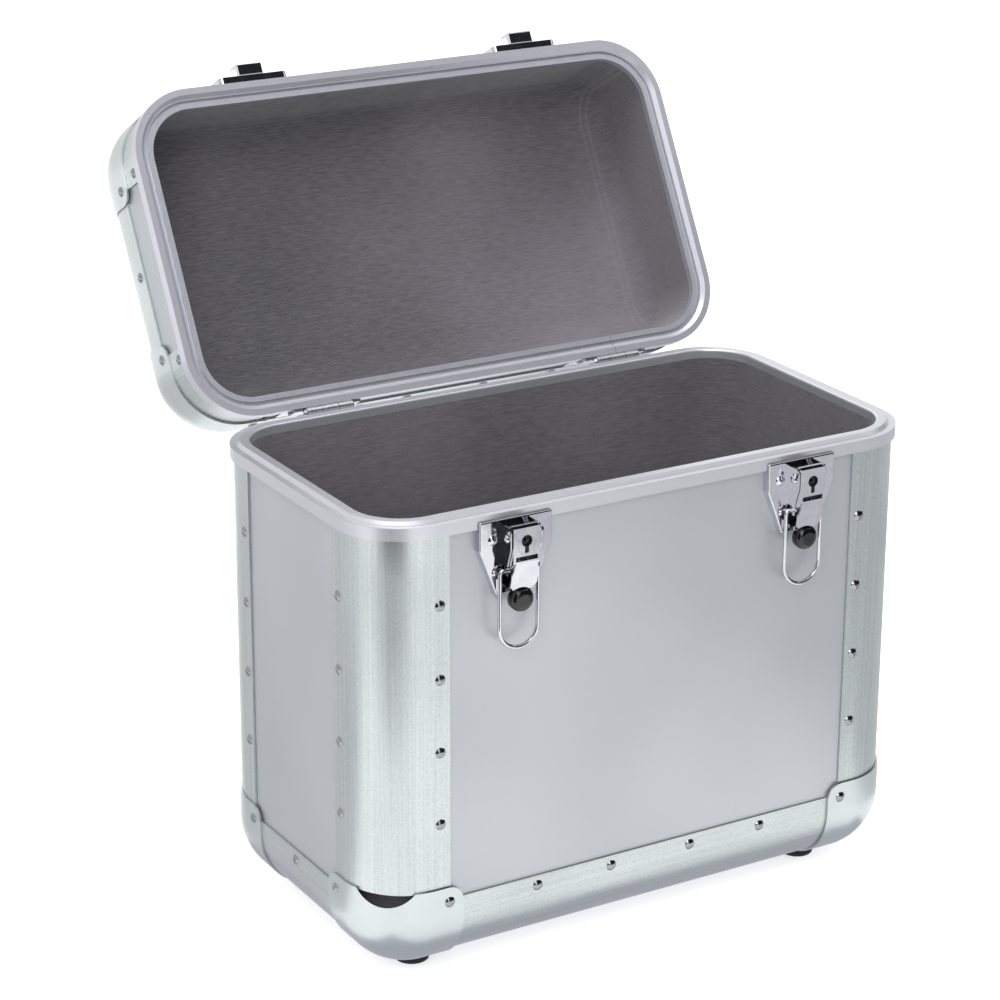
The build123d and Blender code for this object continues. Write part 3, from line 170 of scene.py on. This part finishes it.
pressedSheet = {
    "colour": "#c5cbcb",
    "dull": "#b7bdbe",
    "roughness": (0.31, 0.37),
    "grainMm": 5.0,
    "dentMm": 26.0,
    "dentShare": 3.0,  # height of the broad dents against the orange peel
    "bump": 0.006,
    "bumpDepth": 0.0006,
}


def pressedAluminium(name, onLid=False):
    # deep-drawn aluminium corner: smooth, with the faint orange peel of the press
    material, tree = startMaterial(name)
    grain = addNode(
        tree, "ShaderNodeTexNoise", None,
        {
            "Vector": casePlace(tree, onLid, evenStretch(pressedSheet["grainMm"])),
            "Scale": 1.0, "Detail": 1.0,
        },
    )
    dents = addNode(
        tree, "ShaderNodeTexNoise", None,
        {
            "Vector": casePlace(tree, onLid, evenStretch(pressedSheet["dentMm"])),
            "Scale": 1.0, "Detail": 2.0,
        },
    )
    mixed = addNode(
        tree, "ShaderNodeMix", {"data_type": "RGBA"},
        {
            0: dents.outputs["Fac"],
            6: hexToLinear(pressedSheet["dull"]), 7: hexToLinear(pressedSheet["colour"]),
        },
    )
    low, high = pressedSheet["roughness"]
    rough = addNode(
        tree, "ShaderNodeMapRange", None,
        {"Value": grain.outputs["Fac"], "To Min": low, "To Max": high, **noiseSpan},
    )
    height = addNode(
        tree, "ShaderNodeMath", {"operation": "MULTIPLY_ADD"},
        {0: dents.outputs["Fac"], 1: pressedSheet["dentShare"], 2: grain.outputs["Fac"]},
    )
    bump = addNode(
        tree, "ShaderNodeBump", None,
        {
            "Height": height.outputs[0],
            "Strength": pressedSheet["bump"], "Distance": pressedSheet["bumpDepth"],
        },
    )
    finishMaterial(tree, {
        "Base Color": mixed.outputs[2], "Roughness": rough.outputs["Result"],
        "Normal": bump.outputs["Normal"], "Metallic": 1.0,
    })
    return material


wallFilm = {
    "colour": "#b0b4b9",
    "pale": "#bdc1c5",
    "metallic": 0.55,
    "roughness": (0.38, 0.50),
    "speckMm": 0.9,  # film flakes are far finer, drawn coarser so that they show
    "speckShare": 0.35,
    "speckBump": 0.03,
    "cloudMm": 120.0,
    "toneSpan": (0.45, 0.95),
    "ribMm": 2.4,
    "ribShade": (0.92, 1.16),
    "ribBump": 0.30,
    "bumpDepth": 0.0004,
}


def silverLaminate(name, ribDirection="", onLid=False):
    # silver foil laminate on board: even satin grey, the faintest sparkle, ribbed on the lid's ends
    material, tree = startMaterial(name)
    specks = addNode(
        tree, "ShaderNodeTexNoise", None,
        {
            "Vector": casePlace(tree, onLid, evenStretch(wallFilm["speckMm"])),
            "Scale": 1.0, "Detail": 2.0,
        },
    )
    clouds = addNode(
        tree, "ShaderNodeTexNoise", None,
        {
            "Vector": casePlace(tree, onLid, evenStretch(wallFilm["cloudMm"])),
            "Scale": 1.0, "Detail": 1.0,
        },
    )
    tone = addNode(
        tree, "ShaderNodeMath", {"operation": "MULTIPLY_ADD"},
        {0: specks.outputs["Fac"], 1: wallFilm["speckShare"], 2: clouds.outputs["Fac"]},
    )
    toneLow, toneHigh = wallFilm["toneSpan"]
    shade = addNode(
        tree, "ShaderNodeMapRange", None,
        {"Value": tone.outputs[0], "From Min": toneLow, "From Max": toneHigh},
    )
    mixed = addNode(
        tree, "ShaderNodeMix", {"data_type": "RGBA"},
        {
            0: shade.outputs["Result"],
            6: hexToLinear(wallFilm["colour"]), 7: hexToLinear(wallFilm["pale"]),
        },
    )
    low, high = wallFilm["roughness"]
    rough = addNode(
        tree, "ShaderNodeMapRange", None,
        {"Value": specks.outputs["Fac"], "To Min": low, "To Max": high, **noiseSpan},
    )
    height = specks.outputs["Fac"]
    strength = wallFilm["speckBump"]
    colourOut = mixed.outputs[2]
    if ribDirection:
        ribs = addNode(
            tree, "ShaderNodeTexWave",
            {"wave_type": "BANDS", "bands_direction": ribDirection, "wave_profile": "SIN"},
            {
                "Vector": casePlace(tree, onLid),
                "Scale": waveScale(wallFilm["ribMm"]), "Distortion": 0.0,
            },
        )
        height = ribs.outputs["Fac"]
        strength = wallFilm["ribBump"]
        darker, brighter = wallFilm["ribShade"]
        ribShade = addNode(
            tree, "ShaderNodeMapRange", None,
            {"Value": ribs.outputs["Fac"], "To Min": darker, "To Max": brighter},
        )
        ribMix = addNode(
            tree, "ShaderNodeMix", {"data_type": "RGBA", "blend_type": "MULTIPLY"},
            {0: 1.0, 6: mixed.outputs[2], 7: ribShade.outputs["Result"]},
        )
        colourOut = ribMix.outputs[2]
    bump = addNode(
        tree, "ShaderNodeBump", None,
        {"Height": height, "Strength": strength, "Distance": wallFilm["bumpDepth"]},
    )
    finishMaterial(tree, {
        "Base Color": colourOut, "Roughness": rough.outputs["Result"],
        "Normal": bump.outputs["Normal"], "Metallic": wallFilm["metallic"],
    })
    return material


rimMetal = {
    "colour": "#c8cace",
    "dull": "#bdbfc5",
    "lidColour": "#cbcbd4",
    "lidDull": "#c0c0ca",
    "metallic": 0.6,
    "roughness": (0.30, 0.40),
    "grainMm": 1.4,
    "bump": 0.02,
    "bumpDepth": 0.0003,
}


def anodisedRim(name, onLid=False):
    # satin anodised rim section: pale, and a little lilac beside the plain aluminium
    material, tree = startMaterial(name)
    grain = addNode(
        tree, "ShaderNodeTexNoise", None,
        {
            "Vector": casePlace(tree, onLid, evenStretch(rimMetal["grainMm"])),
            "Scale": 1.0, "Detail": 3.0,
        },
    )
    pale = rimMetal["lidColour"] if onLid else rimMetal["colour"]
    dull = rimMetal["lidDull"] if onLid else rimMetal["dull"]
    mixed = addNode(
        tree, "ShaderNodeMix", {"data_type": "RGBA"},
        {0: grain.outputs["Fac"], 6: hexToLinear(dull), 7: hexToLinear(pale)},
    )
    low, high = rimMetal["roughness"]
    rough = addNode(
        tree, "ShaderNodeMapRange", None,
        {"Value": grain.outputs["Fac"], "To Min": low, "To Max": high, **noiseSpan},
    )
    bump = addNode(
        tree, "ShaderNodeBump", None,
        {
            "Height": grain.outputs["Fac"],
            "Strength": rimMetal["bump"], "Distance": rimMetal["bumpDepth"],
        },
    )
    finishMaterial(tree, {
        "Base Color": mixed.outputs[2], "Roughness": rough.outputs["Result"],
        "Normal": bump.outputs["Normal"], "Metallic": rimMetal["metallic"],
    })
    return material


liningCloth = {
    "dark": "#4a494d",
    "pale": "#827f86",
    "ribMm": 1.4,  # the real rib is near 1 mm, drawn wider so that it shows
    "ribShare": 0.16,
    "slubMm": 1.12,
    "runMm": 9.0,
    "threadShare": 0.35,
    "patchMm": 130.0,
    "patchShare": 0.9,
    "toneSpan": (0.70, 1.75),
    # painted pool of light on the lid's lining: its middle, reach and lift
    "lightPoolAt": (0.155, -0.392, 0.029),  # in metres, as casePlace gives them for the lid
    "lightPoolReach": 0.21,
    "lightPoolLift": (0.30, -0.25),
    # painted highlight: the pale colour of the lines along the lid lining's creases
    "creaseHighlight": "#85838a",
    "creaseAt": 0.1697,  # in metres from the lid's middle; the next two are in metres too
    "creaseApart": 0.0016,
    "creaseWide": 0.0013,
    "creaseHighlightStrength": 0.9,
    "roughness": 0.85,
    "sheen": 0.30,
    "sheenRoughness": 0.5,
    "bump": 0.22,
    "bumpDepth": 0.0005,
}


def ribbedCloth(name, ribAxis, onLid=False):
    # flat-ribbed polyester lining: fine even rows of ribs, slubbed along their run, a soft sheen
    material, tree = startMaterial(name)
    ribs = addNode(
        tree, "ShaderNodeTexWave",
        {"wave_type": "BANDS", "bands_direction": ribAxis.upper(), "wave_profile": "SIN"},
        {
            "Vector": casePlace(tree, onLid),
            "Scale": waveScale(liningCloth["ribMm"]), "Distortion": 0.0,
        },
    )
    slubSize = lineStretch(ribAxis, liningCloth["slubMm"], liningCloth["runMm"])
    slubs = addNode(
        tree, "ShaderNodeTexNoise", None,
        {"Vector": casePlace(tree, onLid, slubSize), "Scale": 1.0, "Detail": 3.0, "Roughness": 0.6},
    )
    threads = addNode(
        tree, "ShaderNodeTexNoise", None,
        {
            "Vector": casePlace(tree, onLid, evenStretch(liningCloth["ribMm"])),
            "Scale": 1.0, "Detail": 2.0,
        },
    )
    patches = addNode(
        tree, "ShaderNodeTexNoise", None,
        {
            "Vector": casePlace(tree, onLid, evenStretch(liningCloth["patchMm"])),
            "Scale": 1.0, "Detail": 1.0,
        },
    )
    weave = addNode(
        tree, "ShaderNodeMath", {"operation": "MULTIPLY_ADD"},
        {0: ribs.outputs["Fac"], 1: liningCloth["ribShare"], 2: slubs.outputs["Fac"]},
    )
    crossed = addNode(
        tree, "ShaderNodeMath", {"operation": "MULTIPLY_ADD"},
        {0: threads.outputs["Fac"], 1: liningCloth["threadShare"], 2: weave.outputs[0]},
    )
    tone = addNode(
        tree, "ShaderNodeMath", {"operation": "MULTIPLY_ADD"},
        {0: patches.outputs["Fac"], 1: liningCloth["patchShare"], 2: crossed.outputs[0]},
    )
    toneOut = tone.outputs[0]
    if onLid:
        # painted pool of light: paler round one spot of the lid's lining, fading with distance from it
        away = addNode(
            tree, "ShaderNodeVectorMath", {"operation": "DISTANCE"},
            {0: casePlace(tree, onLid), 1: liningCloth["lightPoolAt"]},
        )
        nearLift, farLift = liningCloth["lightPoolLift"]
        lightPool = addNode(
            tree, "ShaderNodeMapRange", {"interpolation_type": "SMOOTHSTEP"},
            {
                "Value": away.outputs["Value"],
                "From Min": 0.0, "From Max": liningCloth["lightPoolReach"],
                "To Min": nearLift, "To Max": farLift,
            },
        )
        toneOut = addNode(
            tree, "ShaderNodeMath", {"operation": "ADD"}, {0: toneOut, 1: lightPool.outputs["Result"]}
        ).outputs[0]
    toneLow, toneHigh = liningCloth["toneSpan"]
    shade = addNode(
        tree, "ShaderNodeMapRange", None,
        {"Value": toneOut, "From Min": toneLow, "From Max": toneHigh},
    )
    mixed = addNode(
        tree, "ShaderNodeMix", {"data_type": "RGBA"},
        {
            0: shade.outputs["Result"],
            6: hexToLinear(liningCloth["dark"]), 7: hexToLinear(liningCloth["pale"]),
        },
    )
    colourOut = mixed.outputs[2]
    if onLid:
        # painted highlight: two faint pale lines along the creases where the cloth turns into the lid's
        # end walls
        parts = addNode(tree, "ShaderNodeSeparateXYZ", None, {"Vector": casePlace(tree, onLid)})
        reach = addNode(tree, "ShaderNodeMath", {"operation": "ABSOLUTE"}, {0: parts.outputs["X"]})
        for step in (liningCloth["creaseAt"], liningCloth["creaseApart"]):
            moved = addNode(
                tree, "ShaderNodeMath", {"operation": "SUBTRACT"}, {0: reach.outputs[0], 1: step}
            )
            reach = addNode(
                tree, "ShaderNodeMath", {"operation": "ABSOLUTE"}, {0: moved.outputs[0]}
            )
        line = addNode(
            tree, "ShaderNodeMapRange", None,
            {
                "Value": reach.outputs[0], "From Min": 0.0, "From Max": liningCloth["creaseWide"],
                "To Min": liningCloth["creaseHighlightStrength"], "To Max": 0.0,
            },
        )
        # painted highlight: the crease line, fainter where the patches are darker
        worn = addNode(
            tree, "ShaderNodeMath", {"operation": "MULTIPLY"},
            {0: line.outputs["Result"], 1: patches.outputs["Fac"]},
        )
        creaseHighlighted = addNode(
            tree, "ShaderNodeMix", {"data_type": "RGBA"},
            {0: worn.outputs[0], 6: mixed.outputs[2], 7: hexToLinear(liningCloth["creaseHighlight"])},
        )
        colourOut = creaseHighlighted.outputs[2]
    bump = addNode(
        tree, "ShaderNodeBump", None,
        {
            "Height": crossed.outputs[0],
            "Strength": liningCloth["bump"], "Distance": liningCloth["bumpDepth"],
        },
    )
    finishMaterial(tree, {
        "Base Color": colourOut, "Normal": bump.outputs["Normal"],
        "Roughness": liningCloth["roughness"],
        "Sheen Weight": liningCloth["sheen"], "Sheen Roughness": liningCloth["sheenRoughness"],
    })
    return material


fittingBumpDepth = 0.0004  # in metres, for all small fittings

# bare turned rivet heads, dark against the pale extrusions because they mirror the room
turnedRivet = {
    "colour": "#9c9ea3", "dull": "#85878c", "roughness": (0.10, 0.18), "hazeMm": 3.0, "bump": 0.02,
}
# mirror-bright plate on the latches, with hard dark and white reflections
chromePlate = {
    "colour": "#c9c9ce", "dull": "#b3b3ba", "roughness": (0.05, 0.12), "hazeMm": 5.0, "bump": 0.07,
}
# duller plate on the hinges and brackets, satin and even
zincPlate = {
    "colour": "#c9cbd0", "dull": "#b2b4b9", "roughness": (0.24, 0.38), "hazeMm": 2.0, "bump": 0.05,
}
# ground pins and screws, a little softer than the chrome
brightPin = {
    "colour": "#e0e0e4", "dull": "#c8c8cc", "roughness": (0.12, 0.22), "hazeMm": 2.0, "bump": 0.03,
}
# oiled spring strip, nearly black in the slot
oiledSpring = {
    "colour": "#5a5a58", "dull": "#3a3a3a", "roughness": (0.25, 0.40), "hazeMm": 1.0, "bump": 0.05,
}


def smoothMetal(name, finish):
    # plated or turned metal: bright, with faint polishing haze that breaks its reflections
    material, tree = startMaterial(name)
    haze = addNode(
        tree, "ShaderNodeTexNoise", None,
        {
            "Vector": casePlace(tree, False, evenStretch(finish["hazeMm"])),
            "Scale": 1.0, "Detail": 3.0,
        },
    )
    mixed = addNode(
        tree, "ShaderNodeMix", {"data_type": "RGBA"},
        {0: haze.outputs["Fac"], 6: hexToLinear(finish["dull"]), 7: hexToLinear(finish["colour"])},
    )
    low, high = finish["roughness"]
    rough = addNode(
        tree, "ShaderNodeMapRange", None,
        {"Value": haze.outputs["Fac"], "To Min": low, "To Max": high, **noiseSpan},
    )
    bump = addNode(
        tree, "ShaderNodeBump", None,
        {"Height": haze.outputs["Fac"], "Strength": finish["bump"], "Distance": fittingBumpDepth},
    )
    finishMaterial(tree, {
        "Base Color": mixed.outputs[2], "Roughness": rough.outputs["Result"],
        "Normal": bump.outputs["Normal"], "Metallic": 1.0,
    })
    return material


# dull black of the lock's inside, seen through the keyhole
blackLockCase = {
    "colour": "#151516", "worn": "#1f1f21", "roughness": (0.45, 0.60),
    "grainMm": 1.0, "bump": 0.05, "ior": 1.5,
}
# glossy black phenolic, with one clear highlight on each knob
blackKnob = {
    "colour": "#0c0c0d", "worn": "#151518", "roughness": (0.06, 0.14),
    "grainMm": 6.0, "bump": 0.03, "ior": 1.5,
}
# satin black plastic, finely grained for the hand
blackGrip = {
    "colour": "#1a1a1b", "worn": "#2a2a2c", "roughness": (0.42, 0.58),
    "grainMm": 0.9, "bump": 0.15, "ior": 1.5,
}
# matt rubber, almost without a highlight
blackRubber = {
    "colour": "#18181a", "worn": "#29292b", "roughness": (0.70, 0.85),
    "grainMm": 1.2, "bump": 0.20, "ior": 1.52,
}
wornSpan = {"From Min": 0.35, "From Max": 0.8}  # the noise values that go from plain to worn


def mouldedPart(name, finish):
    # moulded plastic or rubber: one colour with fine moulding texture and handling marks
    material, tree = startMaterial(name)
    grain = addNode(
        tree, "ShaderNodeTexNoise", None,
        {
            "Vector": casePlace(tree, False, evenStretch(finish["grainMm"])),
            "Scale": 1.0, "Detail": 3.0,
        },
    )
    shade = addNode(
        tree, "ShaderNodeMapRange", None, {"Value": grain.outputs["Fac"], **wornSpan}
    )
    mixed = addNode(
        tree, "ShaderNodeMix", {"data_type": "RGBA"},
        {0: shade.outputs["Result"], 6: hexToLinear(finish["colour"]), 7: hexToLinear(finish["worn"])},
    )
    low, high = finish["roughness"]
    rough = addNode(
        tree, "ShaderNodeMapRange", None,
        {"Value": grain.outputs["Fac"], "To Min": low, "To Max": high, **noiseSpan},
    )
    bump = addNode(
        tree, "ShaderNodeBump", None,
        {"Height": grain.outputs["Fac"], "Strength": finish["bump"], "Distance": fittingBumpDepth},
    )
    finishMaterial(tree, {
        "Base Color": mixed.outputs[2], "Roughness": rough.outputs["Result"],
        "Normal": bump.outputs["Normal"], "IOR": finish["ior"],
    })
    return material


def dress(material, *names):
    # the same finish on each CAD node named
    for name in names:
        node = nodes[name]
        if not node.material_slots:
            node.data.materials.append(material)
        for slot in node.material_slots:
            slot.material = material


dress(
    silverLaminate("silver laminate wall"),
    "front_panel", "back_panel", "left_panel", "right_panel", "bottom_panel",
)
dress(
    silverLaminate("silver laminate lid wall", "", True),
    "lid_front_panel", "lid_back_panel", "lid_top_panel",
)
dress(silverLaminate("ribbed silver lid end", "Z", True), "lid_left_panel", "lid_right_panel")
dress(
    brushedAluminium("brushed aluminium upright", "z"),
    "front_left_post", "front_right_post", "back_left_post", "back_right_post",
)
dress(brushedAluminium("brushed aluminium long edge", "x"), "front_bottom_edge", "back_bottom_edge")
dress(brushedAluminium("brushed aluminium short edge", "y"), "left_bottom_edge", "right_bottom_edge")
dress(brushedAluminium("brushed aluminium lid upright", "z", True), "lid_corner_posts")
dress(brushedAluminium("brushed aluminium lid long edge", "x", True), "lid_front_edge", "lid_back_edge")
dress(brushedAluminium("brushed aluminium lid short edge", "y", True), "lid_left_edge", "lid_right_edge")
dress(
    pressedAluminium("pressed aluminium corner"),
    "base_ball_front_left", "base_ball_front_right", "base_ball_back_left", "base_ball_back_right",
)
dress(pressedAluminium("pressed aluminium lid corner", True), "lid_ball_corners")
dress(anodisedRim("anodised body rim"), "body_rim")
dress(anodisedRim("anodised lid rim", True), "lid_rim")
dress(ribbedCloth("ribbed lining cloth", "z"), "base_lining")
dress(ribbedCloth("ribbed lid lining cloth", "y", True), "lid_lining")
print("walls, extrusions, corners, rims and linings dressed")

dress(smoothMetal("turned aluminium rivet", turnedRivet), "base_rivets", "lid_rivets")
dress(
    smoothMetal("bright chrome plate", chromePlate),
    "left_latch_plate", "right_latch_plate", "left_latch_lever", "right_latch_lever",
    "lid_catches", "left_latch_bail", "right_latch_bail", "handle_bail",
    "latch_rivets", "lid_fitting_rivets", "hinge_body_rivets",
)
dress(
    smoothMetal("zinc plated steel hinge", zincPlate),
    "hinge_body_leaves", "hinge_lid_leaves", "handle_brackets",
)
dress(smoothMetal("bright steel pin", brightPin), "hinge_pins", "latch_pins", "foot_screws")
dress(smoothMetal("dark oiled spring steel", oiledSpring), "left_latch_spring", "right_latch_spring")
dress(mouldedPart("blackened lock case", blackLockCase), "left_lock_case", "right_lock_case")
dress(mouldedPart("gloss black knob", blackKnob), "left_latch_knob", "right_latch_knob")
dress(mouldedPart("black moulded grip", blackGrip), "handle_grip")
dress(mouldedPart("black rubber foot", blackRubber), "rubber_feet")
print("fittings dressed")


studio = {
    "floorSize": 16.0,
    "floorColour": "#e6e6e6",
    "floorGlow": 0.62,
    "worldStrength": 0.54,
    "lamps": [
        # name, place, size, power
        ("keyLamp", (-1.5, -2.1, 1.9), 1.7, 40.0),
        ("fillLamp", (2.2, -1.4, 1.6), 1.6, 6.0),
        ("topLamp", (-0.2, 0.2, 2.9), 1.8, 42.0),
        ("backLamp", (0.8, 2.4, 1.8), 1.6, 10.0),
    ],
    "lampTarget": (0.0, 0.05, 0.22),
    "matLift": 0.002,  # keeps the mats just above the floor
    "cards": [
        # name, grey, middle of the lower edge, width, height
        ("cameraCard", "#3d3e42", (-0.48, -0.45, 0.0), 0.42, 0.75),
        ("frontCard", "#2f3035", (0.70, -1.30, 0.0), 1.7, 2.3),
        ("sideCard", "#222327", (1.45, -0.25, 0.0), 1.3, 1.1),
    ],
    "mats": [
        # name, grey, x range, y range
        ("leftMat", "#ececef", (-1.00, -0.20), (0.00, 1.00)),
        ("rightMat", "#ecedf0", (0.26, 1.30), (-0.95, 0.60)),
        # painted shadow: a darker lilac sheet under the case, seen only in reflections, stands in for the
        # shade beneath it
        ("underShadowMat", "#cfced8", (-0.20, 0.20), (-0.115, 0.115)),
    ],
}


def addObject(name, data):
    thing = bpy.data.objects.new(name, data)
    bpy.context.scene.collection.objects.link(thing)
    return thing


def flatSheet(name, corners, material):
    # one four-sided face, with its material
    mesh = bpy.data.meshes.new(name)
    mesh.from_pydata(corners, [], [(0, 1, 2, 3)])
    mesh.materials.append(material)
    sheet = addObject(name, mesh)
    return sheet


def backdropRays(tree):
    # 1 for what the camera, reflections and clear parts see, 0 for the light that falls on the case
    rays = addNode(tree, "ShaderNodeLightPath")
    seen = addNode(
        tree, "ShaderNodeMath", {"operation": "MAXIMUM"},
        {0: rays.outputs["Is Camera Ray"], 1: rays.outputs["Is Glossy Ray"]},
    )
    return addNode(
        tree, "ShaderNodeMath", {"operation": "MAXIMUM"},
        {0: seen.outputs[0], 1: rays.outputs["Is Transmission Ray"]},
    ).outputs[0]


def makeFloor():
    # matt white paper sweep: glows for the camera and reflections, and keeps the case's shadow
    material, tree = startMaterial("white paper sweep")
    paper = addNode(tree, "ShaderNodeBsdfDiffuse", None, {"Color": hexToLinear(studio["floorColour"])})
    level = addNode(
        tree, "ShaderNodeMath", {"operation": "MULTIPLY"},
        {0: backdropRays(tree), 1: studio["floorGlow"]},
    )
    glow = addNode(
        tree, "ShaderNodeEmission", None, {"Color": (1, 1, 1, 1), "Strength": level.outputs[0]}
    )
    both = addNode(
        tree, "ShaderNodeAddShader", None, {0: paper.outputs["BSDF"], 1: glow.outputs["Emission"]}
    )
    addNode(tree, "ShaderNodeOutputMaterial", None, {"Surface": both.outputs["Shader"]})
    half = studio["floorSize"] / 2
    corners = [(-half, -half, 0), (half, -half, 0), (half, half, 0), (-half, half, 0)]
    flatSheet("paleFloor", corners, material)


def makeCards():
    # grey cards round the case and mats on the floor, seen only in reflections, for metal to mirror; the
    # mat under the case is a painted shadow
    shapes = []
    for name, grey, foot, width, height in studio["cards"]:
        side = Vector((foot[1], -foot[0], 0)).normalized() * (width / 2)
        low = Vector(foot)
        high = low + Vector((0, 0, height))
        shapes.append((name, grey, [low - side, low + side, high + side, high - side]))
    lift = studio["matLift"]
    for name, grey, (left, right), (front, back) in studio["mats"]:
        corners = [(left, front, lift), (right, front, lift), (right, back, lift), (left, back, lift)]
        shapes.append((name, grey, corners))
    for name, grey, corners in shapes:
        material, tree = startMaterial("grey of " + name)
        tone = addNode(tree, "ShaderNodeEmission", None, {"Color": hexToLinear(grey)})
        addNode(tree, "ShaderNodeOutputMaterial", None, {"Surface": tone.outputs["Emission"]})
        card = flatSheet(name, corners, material)
        card.visible_camera = False
        card.visible_diffuse = False
        card.visible_shadow = False


def makeWorld():
    # soft even light on the case, and plain white behind it
    world = bpy.data.worlds.new("softRoom")
    bpy.context.scene.world = world
    tree = emptyTree(world)
    level = addNode(
        tree, "ShaderNodeMapRange", None,
        {"Value": backdropRays(tree), "To Min": studio["worldStrength"], "To Max": 1.0},
    )
    sky = addNode(
        tree, "ShaderNodeBackground", None,
        {"Color": (1, 1, 1, 1), "Strength": level.outputs["Result"]},
    )
    addNode(tree, "ShaderNodeOutputWorld", None, {"Surface": sky.outputs["Background"]})


def makeLamps():
    target = Vector(studio["lampTarget"])
    for name, place, size, power in studio["lamps"]:
        data = bpy.data.lights.new(name, "AREA")
        data.size = size
        data.energy = power
        lamp = addObject(name, data)
        lamp.location = place
        lamp.rotation_mode = "QUATERNION"
        lamp.rotation_quaternion = (target - Vector(place)).to_track_quat("-Z", "Y")


cameraView = {
    "azimuth": -30.722,
    "elevation": 20.017,
    "roll": 0.231,
    "lens": 111.07,
    "sensorWidth": 36.0,
    "clip": (0.05, 60.0),
    "distance": 1.8709,
    "target": (-0.04668, 0.0, 0.25753),
}


def makeCamera():
    azimuth = math.radians(cameraView["azimuth"])
    elevation = math.radians(cameraView["elevation"])
    back = Vector((
        math.sin(azimuth) * math.cos(elevation),
        -math.cos(azimuth) * math.cos(elevation),
        math.sin(elevation),
    ))
    data = bpy.data.cameras.new("studioCamera")
    data.sensor_width = cameraView["sensorWidth"]
    data.lens = cameraView["lens"]
    data.clip_start, data.clip_end = cameraView["clip"]
    camera = addObject("studioCamera", data)
    camera.location = Vector(cameraView["target"]) + back * cameraView["distance"]
    camera.rotation_euler = (-back).to_track_quat("-Z", "Y").to_euler()
    camera.rotation_euler.rotate_axis("Z", math.radians(cameraView["roll"]))
    bpy.context.scene.camera = camera


makeFloor()
makeCards()
makeWorld()
makeLamps()
makeCamera()
bpy.context.scene.view_settings.view_transform = "Standard"
print("studio and camera set")
